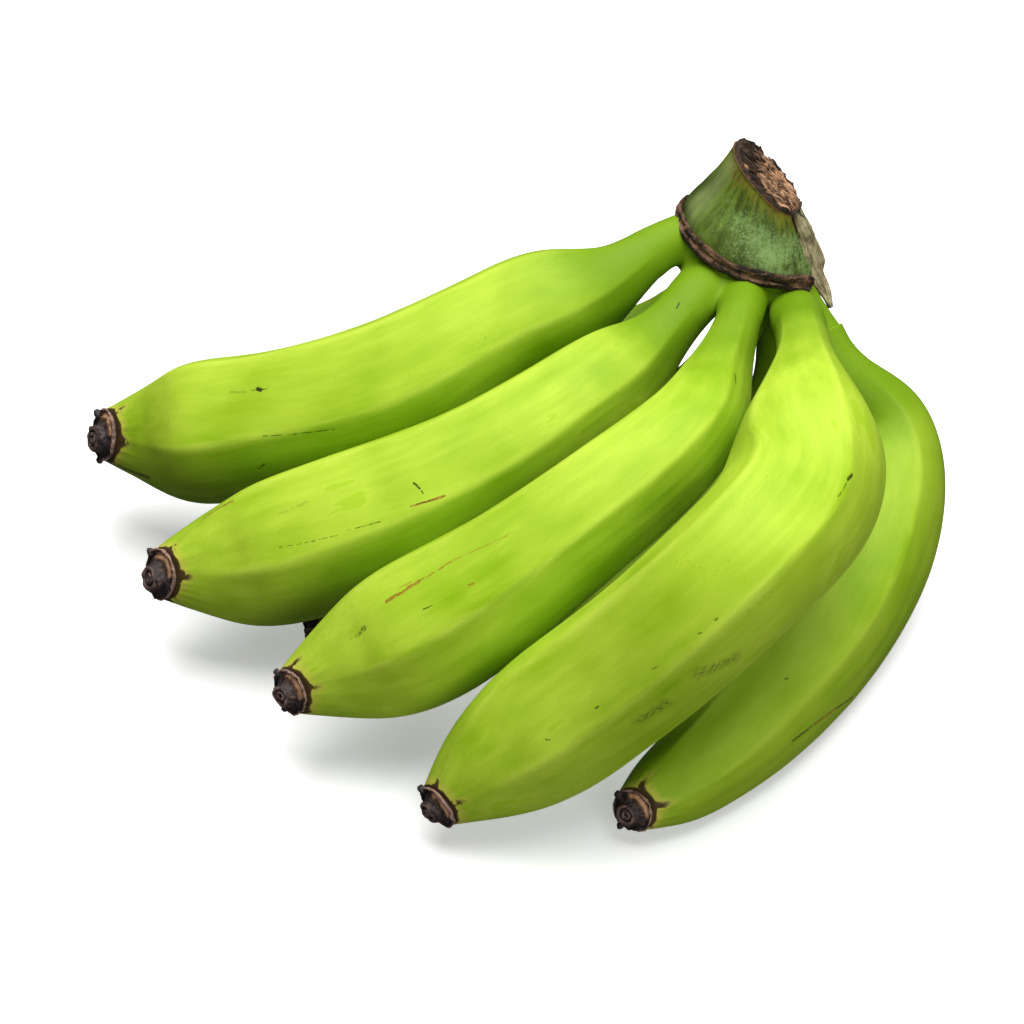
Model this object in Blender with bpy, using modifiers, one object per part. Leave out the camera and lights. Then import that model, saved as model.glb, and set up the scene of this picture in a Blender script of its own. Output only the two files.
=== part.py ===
"""A hand of green plantains, lying palm down on its inner fingers.

One crown, five fingers in the outer row, three in the inner row, and a dried blossom end on each finger.
Blender's unit is the metre and +Z is up. Sizes here are in centimetres and are scaled by CM.
"""

from math import cos, pi, radians, sin

import bmesh
import bpy
import numpy as np
from mathutils import Vector

CM = 0.01
GAP = 0.03  # clearance between neighbouring solids

# The drawing's origin, seen from the middle of the footprint on the surface that the hand lies on.
SEAT = (0.029, 1.111, -0.0739)

OUTWARD = Vector((0.0, -0.766, 0.643))  # the way the backs of the fingers face
FLATTEN = 0.05  # share by which a finger is thinner from back to palm
RIDGES = 5
RIDGE_HEIGHT = 0.040  # of the radius
RIDGE_CREST = 0.010  # second harmonic, which sharpens the ridges
RIDGES_GROW_OVER = 0.25  # share of the skin's length from the neck
RIDGES_FADE_OVER = 0.12  # share of the skin's length before the tip
AROUND = 20  # points around a finger
STATIONS = 20  # rings along a finger
STATION_SPREAD = 0.035  # how much the rings crowd together at mid length
TIP_CROWDING = 1.08  # and, as a power, towards the tip
LINE_SAMPLES = 1000  # points on the even line along a route

RADIUS_SHARES = (0.0, 0.10, 0.20, 0.30, 0.45, 0.60, 0.75, 0.87, 0.95, 1.0)  # of the skin's length

BLOSSOM_INSET = 0.55  # how far before the end of its route a finger's skin stops
BLOSSOM_STEPS = 14
MERGE = 0.00001  # metres

# route: from inside the crown to the blossom end. leaves: how far along it the skin leaves the crown.
# radii: the mean radius at each of RADIUS_SHARES. turn: of the ridges about the route, in degrees.
FINGERS = {
    "outer_1": {
        "route": [(6.7, 7.7, 10.5), (5.4, 6.7, 10.3), (3.4, 5.3, 9.8), (0.4, 4.1, 9.0),
                  (-3.6, 2.9, 7.3), (-8.1, 3.1, 5.5), (-12.6, 4.4, 3.7), (-14.4, 4.2, 3.9)],
        "radii": [0.75, 1.15, 1.95, 2.10, 2.30, 2.35, 2.40, 2.35, 1.50, 0.90], "leaves": 2.0, "turn": -15,
    },
    "outer_2": {
        "route": [(7.1, 6.8, 9.3), (6.2, 4.9, 9.4), (4.3, 2.4, 8.8), (2.3, 0.3, 8.5),
                  (-1.1, -1.5, 7.1), (-5.1, -2.2, 5.4), (-8.7, -2.1, 3.8), (-12.0, -2.8, 3.6)],
        "radii": [0.90, 1.05, 1.65, 1.90, 2.15, 2.35, 2.45, 2.15, 1.45, 0.85], "leaves": 2.4, "turn": -12,
    },
    "outer_3": {
        "route": [(8.0, 6.4, 9.1), (7.5, 3.3, 9.6), (6.8, 0.8, 9.5), (5.7, -2.4, 9.6),
                  (2.5, -5.2, 8.4), (-0.9, -6.5, 6.2), (-4.4, -6.9, 3.9), (-7.5, -8.1, 3.1)],
        "radii": [0.70, 0.85, 1.20, 1.55, 1.85, 2.05, 2.35, 2.15, 1.40, 0.75], "leaves": 2.4, "turn": -10,
    },
    "outer_4": {
        "route": [(9.5, 5.7, 8.2), (9.5, 2.3, 9.7), (9.4, -1.7, 10.6), (8.9, -5.9, 9.9),
                  (7.4, -8.6, 9.7), (4.2, -9.8, 6.8), (0.5, -10.1, 3.3), (-2.7, -11.7, 1.4)],
        "radii": [0.90, 0.90, 1.25, 2.25, 2.40, 2.35, 2.35, 2.20, 1.50, 0.75], "leaves": 2.0, "turn": -20,
    },
    "outer_5": {
        "route": [(9.9, 5.6, 8.6), (11.3, 4.0, 6.6), (12.6, 3.4, 5.4), (12.5, 0.9, 3.5),
                  (10.8, -2.8, 2.3), (8.7, -6.3, 2.1), (6.2, -9.4, 1.7), (3.4, -11.7, 1.3)],
        "radii": [0.85, 1.15, 1.70, 2.05, 2.15, 2.10, 1.85, 1.50, 1.15, 0.70], "leaves": 2.2, "turn": -23,
    },
    "inner_1": {
        "route": [(7.4, 8.0, 8.1), (6.4, 7.7, 7.3), (4.8, 7.3, 6.2), (2.7, 6.9, 4.8),
                  (0.2, 6.8, 3.2), (-2.5, 6.5, 2.2), (-5.2, 5.5, 1.8), (-7.2, 4.7, 1.5)],
        "radii": [0.80, 0.90, 1.30, 1.65, 1.90, 2.00, 1.95, 1.75, 1.20, 0.75], "leaves": 1.6, "turn": -10,
    },
    "inner_2": {
        "route": [(8.4, 7.2, 8.1), (7.7, 5.3, 7.8), (6.3, 3.9, 6.4), (4.1, 2.4, 5.1),
                  (1.3, 1.2, 3.5), (-1.7, 0.3, 2.2), (-4.6, -1.4, 1.4), (-6.7, -3.2, 1.2)],
        "radii": [0.80, 0.85, 1.15, 1.55, 1.85, 1.85, 1.70, 1.25, 0.95, 0.70], "leaves": 2.4, "turn": -10,
    },
    "inner_3": {
        "route": [(9.4, 7.7, 7.7), (9.2, 6.5, 6.5), (9.0, 5.3, 4.7), (8.0, 3.5, 3.5),
                  (6.3, 1.3, 2.4), (4.6, -0.8, 2.0), (3.0, -2.9, 1.8), (1.7, -4.4, 1.5)],
        "radii": [0.80, 0.85, 1.15, 1.55, 1.85, 1.85, 1.85, 1.65, 1.15, 0.75], "leaves": 1.6, "turn": -10,
    },
}

# The crown from its underside to the cut: ring centre, the way the ring faces, its radius.
CROWN_RINGS = [
    ((7.9, 7.5, 7.6), (0.20, 0.05, 1.0), 1.30),
    ((7.9, 7.4, 8.0), (0.24, 0.05, 1.0), 2.00),
    ((7.9, 7.3, 8.7), (0.30, 0.08, 1.0), 2.45),
    ((8.0, 7.3, 9.5), (0.38, 0.10, 1.0), 2.62),
    ((8.1, 7.3, 10.1), (0.42, 0.11, 1.0), 2.52),
    ((8.3, 7.4, 11.0), (0.52, 0.12, 1.0), 2.20),
    ((8.5, 7.4, 11.9), (0.78, 0.12, 1.0), 1.80),
    ((8.6, 7.4, 12.4), (0.97, 0.08, 1.0), 1.64),
]
CROWN_AROUND = 24

# The torn, fibrous strip down the crown's side, from the cut to the fifth neck, with its radius along it.
STRIP_ROUTE = [(9.7, 7.0, 11.2), (10.2, 6.6, 10.3), (10.5, 6.1, 9.4), (10.7, 5.6, 8.5), (10.7, 5.2, 7.9)]
STRIP_RADII = [0.30, 0.42, 0.50, 0.52, 0.30]

STRIP_AROUND = 10

NECK_AROUND = 14
NECK_STATIONS = 5
NECK_SWELL = 0.12  # how much wider a neck root is inside the crown


def cubic_through(places, values):
    """The natural cubic spline that takes the given values at the given places, as a function of the place."""
    steps = np.diff(places)
    count = len(values)
    system = np.eye(count)
    right = np.zeros_like(values)
    for i in range(1, count - 1):
        system[i, i - 1:i + 2] = steps[i - 1], 2.0 * (steps[i - 1] + steps[i]), steps[i]
        slopes = (values[i + 1] - values[i]) / steps[i] - (values[i] - values[i - 1]) / steps[i - 1]
        right[i] = 6.0 * slopes
    bends = np.linalg.solve(system, right)

    def at(place):
        i = int(np.clip(np.searchsorted(places, place) - 1, 0, count - 2))
        a = (places[i + 1] - place) / steps[i]
        b = 1.0 - a
        curve = (a ** 3 - a) * bends[i] + (b ** 3 - b) * bends[i + 1]
        return a * values[i] + b * values[i + 1] + curve * steps[i] ** 2 / 6.0

    return at


def even_line(points, samples):
    """Evenly spaced points on the natural cubic spline through the given points, and its length."""
    knots = np.array(points, dtype=float)
    places = np.concatenate([[0.0], np.cumsum(np.linalg.norm(np.diff(knots, axis=0), axis=1))])
    at = cubic_through(places, knots)
    fine = np.array([at(place) for place in np.linspace(0.0, places[-1], samples)])
    along = np.concatenate([[0.0], np.cumsum(np.linalg.norm(np.diff(fine, axis=0), axis=1))])
    wanted = np.linspace(0.0, along[-1], samples)
    even = np.stack([np.interp(wanted, along, fine[:, axis]) for axis in range(3)], axis=1)
    return even, along[-1]


def smooth_rise(value):
    """0 to 1 with flat ends."""
    value = min(max(value, 0.0), 1.0)
    return value * value * (3.0 - 2.0 * value)


def ring_axes(tangent):
    """Back and side directions across a route, with the back turned the way the fingers' backs face."""
    back = (OUTWARD - tangent * OUTWARD.dot(tangent)).normalized()
    return back, tangent.cross(back)


def tangent_at(line, index):
    """Direction of an even line of points at one of them."""
    before = line[max(index - 1, 0)]
    after = line[min(index + 1, len(line) - 1)]
    return Vector(after - before).normalized()


def finger_line(finger):
    """The even centre line of a finger's skin, from the crown to the blossom end."""
    line, length = even_line(finger["route"], LINE_SAMPLES)
    spacing = length / (LINE_SAMPLES - 1)
    start = round(finger["leaves"] / spacing)
    stop = round((length - BLOSSOM_INSET) / spacing)
    return line[start:stop + 1]


def finger_rings(finger):
    """Rings of a finger: round at the neck and the tip, five-sided with soft ridges along the body."""
    line = finger_line(finger)
    radius_at = cubic_through(np.array(RADIUS_SHARES), np.array(finger["radii"]))
    rings = []
    for station in range(STATIONS):
        even = station / (STATIONS - 1)
        share = even + STATION_SPREAD * sin(2.0 * pi * even)
        share = 1.0 - (1.0 - share) ** TIP_CROWDING
        index = int(round(share * (len(line) - 1)))
        tangent = tangent_at(line, index)
        back, side = ring_axes(tangent)
        radius = radius_at(share)
        ridged = smooth_rise(share / RIDGES_GROW_OVER) * smooth_rise((1.0 - share) / RIDGES_FADE_OVER)
        ring = []
        for step in range(AROUND):
            angle = 2.0 * pi * step / AROUND
            turned = angle - radians(finger["turn"])
            ridge = RIDGE_HEIGHT * cos(RIDGES * turned) + RIDGE_CREST * cos(2 * RIDGES * turned)
            reach = radius * (1.0 + ridged * ridge)
            across = back * (cos(angle) * (1.0 - FLATTEN * ridged)) + side * sin(angle)
            ring.append(Vector(line[index]) + across * reach)
        rings.append(ring)
    return rings


def round_ring(centre, facing, radius, around):
    """A ring of points about a centre, facing the given way."""
    normal = Vector(facing).normalized()
    first = Vector((0.0, 1.0, 0.0))
    u = (first - normal * first.dot(normal)).normalized()
    v = normal.cross(u)
    angles = [2.0 * pi * step / around for step in range(around)]
    return [Vector(centre) + (u * cos(a) + v * sin(a)) * radius for a in angles]


def loft(name, rings):
    """A closed mesh through equal rings, capped at both ends."""
    mesh = bpy.data.meshes.new(name)
    build = bmesh.new()
    seat = Vector(SEAT)
    loops = [[build.verts.new((point + seat) * CM) for point in ring] for ring in rings]
    for lower, upper in zip(loops, loops[1:]):
        for i in range(len(lower)):
            j = (i + 1) % len(lower)
            build.faces.new((lower[i], lower[j], upper[j], upper[i]))
    build.faces.new(list(reversed(loops[0])))
    build.faces.new(loops[-1])
    bmesh.ops.recalc_face_normals(build, faces=build.faces)
    build.to_mesh(mesh)
    build.free()
    mesh.shade_smooth()
    return mesh


def material(name, colour, roughness):
    """A plain opaque finish."""
    finish = bpy.data.materials.new(name)
    finish.use_nodes = True
    shader = finish.node_tree.nodes["Principled BSDF"]
    shader.inputs["Base Color"].default_value = (*colour, 1.0)
    shader.inputs["Roughness"].default_value = roughness
    shader.inputs["Metallic"].default_value = 0.0
    return finish


def add_object(name, mesh, collection, finish=None):
    """A new object for a mesh, in a collection."""
    thing = bpy.data.objects.new(name, mesh)
    collection.objects.link(thing)
    if finish:
        mesh.materials.clear()
        mesh.materials.append(finish)
    return thing


def add_finger(name, finger, collection, finish):
    """One finger's skin and flesh, as one solid."""
    return add_object(f"finger_{name}", loft(f"finger_{name}", finger_rings(finger)), collection, finish)


def blossom_profile(tip):
    """Outline of a dried blossom end on a tip of the given radius, from its nub to its rim: radius and height."""
    shape = [
        (0.0, 0.92), (0.14, 0.90), (0.24, 0.80), (0.30, 0.64), (0.50, 0.56), (0.56, 0.40), (0.74, 0.34),
        (0.82, 0.22), (0.98, 0.18), (0.98, 0.06), (0.92, 0.0), (0.0, 0.0),
    ]
    return [(radius * tip, height * tip) for radius, height in shape]


def add_blossom_end(name, finger, collection, finish):
    """The dried remains of the flower on a finger's tip: a profile turned about the end of the route."""
    line = finger_line(finger)
    tangent = tangent_at(line, len(line) - 1)
    mesh = bpy.data.meshes.new(f"blossom_end_{name}")
    profile = blossom_profile(finger["radii"][-1])
    outline = [(radius * CM, 0.0, height * CM) for radius, height in profile]
    mesh.from_pydata(outline, [(i, i + 1) for i in range(len(outline) - 1)], [])
    thing = add_object(f"blossom_end_{name}", mesh, collection, finish)
    turned = thing.modifiers.new("turned", "SCREW")
    turned.axis = "Z"
    turned.steps = turned.render_steps = BLOSSOM_STEPS
    turned.use_merge_vertices = True
    turned.merge_threshold = MERGE
    turned.use_normal_calculate = True
    thing.location = (Vector(line[-1]) + tangent * GAP + Vector(SEAT)) * CM
    thing.rotation_euler = tangent.to_track_quat("Z", "Y").to_euler()
    return thing


def neck_root_rings(finger):
    """Rings of the short root on the crown that a finger's neck grows from."""
    line, length = even_line(finger["route"], LINE_SAMPLES)
    last = int((LINE_SAMPLES - 1) * (finger["leaves"] - GAP) / length)
    rings = []
    for index in np.linspace(0, last, NECK_STATIONS).astype(int):
        tangent = tangent_at(line, index)
        back, side = ring_axes(tangent)
        swell = 1.0 + NECK_SWELL * (1.0 - index / last) ** 2
        radius = finger["radii"][0] * swell
        angles = [2.0 * pi * step / NECK_AROUND for step in range(NECK_AROUND)]
        rings.append([Vector(line[index]) + (back * cos(a) + side * sin(a)) * radius for a in angles])
    return rings


def strip_rings():
    """Rings of the torn strip on the crown's side."""
    line = np.array(STRIP_ROUTE)
    rings = []
    for index, radius in enumerate(STRIP_RADII):
        rings.append(round_ring(line[index], tangent_at(line, index), radius, STRIP_AROUND))
    return rings


def add_crown(parts, cutters, finish):
    """The crown: pad and cut stub, joined with the neck roots and the torn strip."""
    rings = [round_ring(centre, facing, radius, CROWN_AROUND) for centre, facing, radius in CROWN_RINGS]
    crown = add_object("crown", loft("crown", rings), parts, finish)
    pieces = {f"neck_root_{name}": neck_root_rings(finger) for name, finger in FINGERS.items()}
    pieces["torn_strip"] = strip_rings()
    for name, piece_rings in pieces.items():
        joined = add_object(name, loft(name, piece_rings), cutters)
        joined.hide_render = True
        joined.display_type = "WIRE"
        union = crown.modifiers.new(name, "BOOLEAN")
        union.operation = "UNION"
        union.solver = "EXACT"
        union.object = joined
    return crown


def main():
    """Build the hand."""
    for thing in list(bpy.data.objects):
        bpy.data.objects.remove(thing)
    parts = bpy.data.collections.new("hand_of_plantains")
    cutters = bpy.data.collections.new("cutters")
    bpy.context.scene.collection.children.link(parts)
    bpy.context.scene.collection.children.link(cutters)
    skin = material("green_skin", (0.34, 0.56, 0.04), 0.45)
    crown_skin = material("crown_skin", (0.16, 0.28, 0.06), 0.55)
    dried = material("dried_blossom", (0.06, 0.035, 0.025), 0.85)
    add_crown(parts, cutters, crown_skin)
    for name, finger in FINGERS.items():
        add_finger(name, finger, parts, skin)
        add_blossom_end(name, finger, parts, dried)


main()
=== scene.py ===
"""The looks of a hand of green plantains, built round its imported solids.

Lengths here are centimetres in the drawing's frame. SEAT and CM bring them to the row's frame in metres.
"""

import logging
from dataclasses import dataclass, field
from enum import Enum
from math import cos, pi, radians, sin, tan

import bpy
import numpy as np
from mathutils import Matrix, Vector


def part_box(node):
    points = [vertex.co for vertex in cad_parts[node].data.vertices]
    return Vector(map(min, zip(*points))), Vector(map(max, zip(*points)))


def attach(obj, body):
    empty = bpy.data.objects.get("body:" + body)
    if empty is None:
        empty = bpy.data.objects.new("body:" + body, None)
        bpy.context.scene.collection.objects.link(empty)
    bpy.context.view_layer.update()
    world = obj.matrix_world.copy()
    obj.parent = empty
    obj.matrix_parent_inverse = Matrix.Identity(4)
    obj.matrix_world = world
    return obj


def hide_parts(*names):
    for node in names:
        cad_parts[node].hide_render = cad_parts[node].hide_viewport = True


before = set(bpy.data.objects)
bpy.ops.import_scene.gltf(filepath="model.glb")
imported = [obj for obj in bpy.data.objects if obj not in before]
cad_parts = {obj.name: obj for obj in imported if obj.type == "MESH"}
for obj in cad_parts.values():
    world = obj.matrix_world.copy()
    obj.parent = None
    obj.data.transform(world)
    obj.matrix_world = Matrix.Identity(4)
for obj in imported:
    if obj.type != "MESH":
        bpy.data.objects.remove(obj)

CM = 0.01
SEAT = np.array([0.029, 1.111, -0.0739])  # from the drawing's frame to the row's, in centimetres
OUTWARD = np.array([0.0, -0.766, 0.643])  # the way that the fingers' backs face
RIGHT = np.array([1.0, 0.0, 0.0])
FLATTEN = 0.05  # how much lower than broad a finger is
CAP = 0.012  # length of a finger's rounded ends, as a share of its skin's rings
MERGE = 2e-6  # metres
CREST_SHARPNESS = 24.0
LUMPS_TO_METRE = 32.0
RIDGES = 5
RIDGE_ROUNDING = 0.985  # below 1, how far the ridges stay from knife edges
FACET_MEAN = 0.885  # mean of a pentagon's reach, where its corners reach 1
RIDGES_GROW_OVER = 0.16
RIDGES_FADE_OVER = 0.12
SLANT_FROM = 0.70  # share of the skin's length where its rings start to lean over, as its blossom end does
RADIUS_SHARES = np.array([0.0, 0.10, 0.20, 0.30, 0.45, 0.60, 0.75, 0.87, 0.95, 1.0])
BLOSSOM_INSET = 0.55  # of the blossom end in the route's end
GAP = 0.03  # between the skin and the blossom end
LINE_SAMPLES = 1000
STUB_SAMPLES = 400
FIBRE_SEED = 61
UV_SPAN = 30.0  # centimetres across the skin's map
HANDOVER = 0.75  # how far past its neck's root a finger's own skin takes over from the cushion's

log = logging.getLogger("hand_of_plantains")

Colour = tuple[float, float, float, float]
Point = tuple[float, float, float]

WHITE: Colour = (1.0, 1.0, 1.0, 1.0)
CHARCOAL: Colour = (0.012, 0.008, 0.006, 1.0)


def colour(red: int, green: int, blue: int) -> Colour:
    """A colour for a shader, from its 0 to 255 display values.

    Args:
        red: Red.
        green: Green.
        blue: Blue.

    Returns:
        Linear red, green and blue, and an alpha of 1.
    """
    parts = [value / 255.0 for value in (red, green, blue)]
    linear = [p / 12.92 if p <= 0.04045 else ((p + 0.055) / 1.055) ** 2.4 for p in parts]
    return linear[0], linear[1], linear[2], 1.0


# --- Node trees -----------------------------------------------------------------------------------


class Number:
    """A number on a node tree. Python's operators add Math nodes to it."""

    def __init__(self, tree: "Tree", socket: bpy.types.NodeSocket) -> None:
        """Wrap a socket.

        Args:
            tree: The tree that the socket is on.
            socket: The output socket.
        """
        self.tree = tree
        self.socket = socket

    def _maths(self, operation: str, *values: "Number | float") -> "Number":
        """A Math node on some values."""
        return self.tree.number("ShaderNodeMath", {"operation": operation}, dict(enumerate(values)))

    def __add__(self, other: "Number | float") -> "Number":
        """Self plus other."""
        return self._maths("ADD", self, other)

    def __radd__(self, other: float) -> "Number":
        """Other plus self."""
        return self._maths("ADD", other, self)

    def __sub__(self, other: "Number | float") -> "Number":
        """Self minus other."""
        return self._maths("SUBTRACT", self, other)

    def __rsub__(self, other: float) -> "Number":
        """Other minus self."""
        return self._maths("SUBTRACT", other, self)

    def __mul__(self, other: "Number | float") -> "Number":
        """Self times other."""
        return self._maths("MULTIPLY", self, other)

    def __rmul__(self, other: float) -> "Number":
        """Other times self."""
        return self._maths("MULTIPLY", other, self)

    def __truediv__(self, other: "Number | float") -> "Number":
        """Self over other."""
        return self._maths("DIVIDE", self, other)

    def __rtruediv__(self, other: float) -> "Number":
        """Other over self."""
        return self._maths("DIVIDE", other, self)

    def __pow__(self, other: "Number | float") -> "Number":
        """Self to the power of other."""
        return self._maths("POWER", self, other)

    def at_most(self, other: "Number | float") -> "Number":
        """The lesser of self and other."""
        return self._maths("MINIMUM", self, other)

    def at_least(self, other: "Number | float") -> "Number":
        """The greater of self and other."""
        return self._maths("MAXIMUM", self, other)

    def clamped(self) -> "Number":
        """Self, held between 0 and 1."""
        return self.at_least(0.0).at_most(1.0)

    def cosine(self) -> "Number":
        """The cosine of self, in radians."""
        return self._maths("COSINE", self)

    def sine(self) -> "Number":
        """The sine of self, in radians."""
        return self._maths("SINE", self)

    def arc_cosine(self) -> "Number":
        """The angle in radians whose cosine is self."""
        return self._maths("ARCCOSINE", self)

    def root(self) -> "Number":
        """The square root of self."""
        return self._maths("SQRT", self)


class Arrow:
    """A vector or a colour on a node tree. Python's operators add Vector Math nodes to it."""

    def __init__(self, tree: "Tree", socket: bpy.types.NodeSocket) -> None:
        """Wrap a socket.

        Args:
            tree: The tree that the socket is on.
            socket: The output socket.
        """
        self.tree = tree
        self.socket = socket

    def _maths(self, operation: str, *values: "Arrow | tuple") -> "Arrow":
        """A Vector Math node on some vectors."""
        return self.tree.arrow("ShaderNodeVectorMath", {"operation": operation}, dict(enumerate(values)))

    def __add__(self, other: "Arrow | tuple") -> "Arrow":
        """Self plus other."""
        return self._maths("ADD", self, other)

    def __sub__(self, other: "Arrow | tuple") -> "Arrow":
        """Self minus other."""
        return self._maths("SUBTRACT", self, other)

    def __mul__(self, other: "Arrow | tuple | Number | float") -> "Arrow":
        """Self times other.

        Args:
            other: A vector, which multiplies part by part, or a number.

        Returns:
            The product.
        """
        if isinstance(other, (Number, float)):
            return self.tree.arrow("ShaderNodeVectorMath", {"operation": "SCALE"}, {0: self, 3: other})
        return self._maths("MULTIPLY", self, other)

    def cross(self, other: "Arrow") -> "Arrow":
        """The cross product of self and other."""
        return self._maths("CROSS_PRODUCT", self, other)

    def unit(self) -> "Arrow":
        """Self at length 1."""
        return self._maths("NORMALIZE", self)

    def dot(self, other: "Arrow | tuple") -> Number:
        """The dot product of self and other."""
        return self.tree.number("ShaderNodeVectorMath", {"operation": "DOT_PRODUCT"}, {0: self, 1: other}, 1)

    def parts(self) -> tuple[Number, Number, Number]:
        """The x, y and z of self, as numbers."""
        made = self.tree.node("ShaderNodeSeparateXYZ", {}, {0: self})
        return tuple(Number(self.tree, made.outputs[i]) for i in range(3))


class Tree:
    """A node tree that is built from Python expressions."""

    def __init__(self, tree: bpy.types.NodeTree) -> None:
        """Start on an empty tree.

        Args:
            tree: A shader or Geometry Nodes tree, which is cleared.
        """
        self.tree = tree
        tree.nodes.clear()
        self.entry: bpy.types.Node | None = None

    @classmethod
    def geometry(cls, name: str, sockets: dict[str, str]) -> "Tree":
        """A Geometry Nodes tree with one geometry output.

        Args:
            name: The tree's name.
            sockets: The kind of each input by its name.

        Returns:
            The tree.
        """
        tree = bpy.data.node_groups.new(name, "GeometryNodeTree")
        tree.interface.new_socket("Mesh", in_out="OUTPUT", socket_type="NodeSocketGeometry")
        for title, kind in sockets.items():
            tree.interface.new_socket(title, in_out="INPUT", socket_type=kind)
        made = cls(tree)
        made.entry = tree.nodes.new("NodeGroupInput")
        return made

    def given(self, name: str) -> Number:
        """The tree's input of that name."""
        return Number(self, self.entry.outputs[name])

    def node(self, kind: str, settings: dict | None = None, inputs: dict | None = None) -> bpy.types.Node:
        """Add a node.

        Args:
            kind: The node's type.
            settings: Values of the node's own properties, which are set first. "stops" are a ramp's.
            inputs: Values or links of its sockets, by name or index.

        Returns:
            The node.
        """
        made = self.tree.nodes.new(kind)
        for name, value in (settings or {}).items():
            if name == "stops":
                for place, shade in value[2:]:
                    made.color_ramp.elements.new(place)
                for stop, (place, shade) in zip(made.color_ramp.elements, value):
                    stop.position = place
                    stop.color = shade
            else:
                setattr(made, name, value)
        for name, value in (inputs or {}).items():
            source = value.socket if isinstance(value, (Number, Arrow)) else value
            if isinstance(source, bpy.types.NodeSocket):
                self.tree.links.new(source, made.inputs[name])
            else:
                made.inputs[name].default_value = source
        return made

    def number(self, kind: str, settings: dict, inputs: dict, output: int | str = 0) -> Number:
        """A new node's output as a Number."""
        return Number(self, self.node(kind, settings, inputs).outputs[output])

    def arrow(self, kind: str, settings: dict, inputs: dict, output: int | str = 0) -> Arrow:
        """A new node's output as an Arrow."""
        return Arrow(self, self.node(kind, settings, inputs).outputs[output])

    def vector(self, x: Number | float, y: Number | float, z: Number | float) -> Arrow:
        """A vector of three numbers."""
        return self.arrow("ShaderNodeCombineXYZ", {}, {0: x, 1: y, 2: z})

    def noise(
        self, place: Arrow, scale: float, detail: float = 3.0, rough: float = 0.5, bend: float = 0.0
    ) -> Number:
        """Smooth noise about 0.5.

        Args:
            place: Where it is read.
            scale: Its lumps to the unit.
            detail: Its octaves.
            rough: Its finer octaves' share.
            bend: Its distortion.

        Returns:
            The noise.
        """
        inputs = {"Vector": place, "Scale": scale, "Detail": detail, "Roughness": rough, "Distortion": bend}
        return self.number("ShaderNodeTexNoise", {}, inputs)

    def cells(self, place: Arrow, scale: float) -> Number:
        """Distance to the nearest of a set of scattered points."""
        return self.number("ShaderNodeTexVoronoi", {}, {"Vector": place, "Scale": scale})

    def rise(self, value: Number, low: float, high: float) -> Number:
        """0 at low, 1 at high and smooth between, whichever of the two is greater."""
        inputs = {"Value": value, "From Min": low, "From Max": high}
        return self.number("ShaderNodeMapRange", {"interpolation_type": "SMOOTHSTEP"}, inputs)

    def mix(self, share: Number | float, first: Arrow | Colour, second: Arrow | Colour) -> Arrow:
        """A colour between two."""
        return self.arrow("ShaderNodeMix", {"data_type": "RGBA"}, {0: share, 6: first, 7: second}, 2)

    def ramp(self, value: Number, stops: list[tuple[float, Colour]]) -> Arrow:
        """A colour for a value."""
        return self.arrow("ShaderNodeValToRGB", {"stops": stops}, {0: value})

    def attribute(self, name: str) -> bpy.types.Node:
        """A mesh attribute, on a shader tree."""
        return self.node("ShaderNodeAttribute", {"attribute_name": name})

    def finish_geometry(self, mesh: bpy.types.NodeSocket, material: Number | bpy.types.Material) -> None:
        """End a Geometry Nodes tree in Realize Instances and Set Material.

        Args:
            mesh: The last geometry.
            material: Its material.
        """
        real = self.node("GeometryNodeRealizeInstances", {}, {"Geometry": mesh})
        made = self.node("GeometryNodeSetMaterial", {}, {"Geometry": real.outputs[0], "Material": material})
        self.node("NodeGroupOutput", {}, {0: made.outputs[0]})


class Surface:
    """A material's tree, with one Principled surface."""

    def __init__(self, name: str, specular: float) -> None:
        """Start a material.

        Args:
            name: The material's name.
            specular: The surface's specular level.
        """
        self.material = bpy.data.materials.new(name)
        self.material.use_nodes = True
        self.tree = Tree(self.material.node_tree)
        self.shader = self.tree.node("ShaderNodeBsdfPrincipled", {}, {"Specular IOR Level": specular})
        self.tree.node("ShaderNodeOutputMaterial", {}, {"Surface": self.shader.outputs[0]})

    def place(self) -> Arrow:
        """Object coordinates in centimetres."""
        made = self.tree.node("ShaderNodeTexCoord")
        return Arrow(self.tree, made.outputs["Object"]) * (1.0 / CM)

    def finish(
        self, base: Arrow | Colour, rough: Number | float, height: Number | None, lift: float
    ) -> bpy.types.Material:
        """Set the surface's colour, roughness and relief.

        Args:
            base: Its colour.
            rough: Its roughness.
            height: The height of its relief, or none.
            lift: The relief's depth in centimetres for a height of 1.

        Returns:
            The material.
        """
        for name, value in {"Base Color": base, "Roughness": rough}.items():
            if isinstance(value, (Number, Arrow)):
                self.tree.tree.links.new(value.socket, self.shader.inputs[name])
            else:
                self.shader.inputs[name].default_value = value
        if height is not None:
            inputs = {"Height": height, "Distance": lift * CM, "Strength": 1.0}
            bump = self.tree.node("ShaderNodeBump", {}, inputs)
            self.tree.tree.links.new(bump.outputs[0], self.shader.inputs["Normal"])
        return self.material


# --- Shapes ---------------------------------------------------------------------------------------


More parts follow.
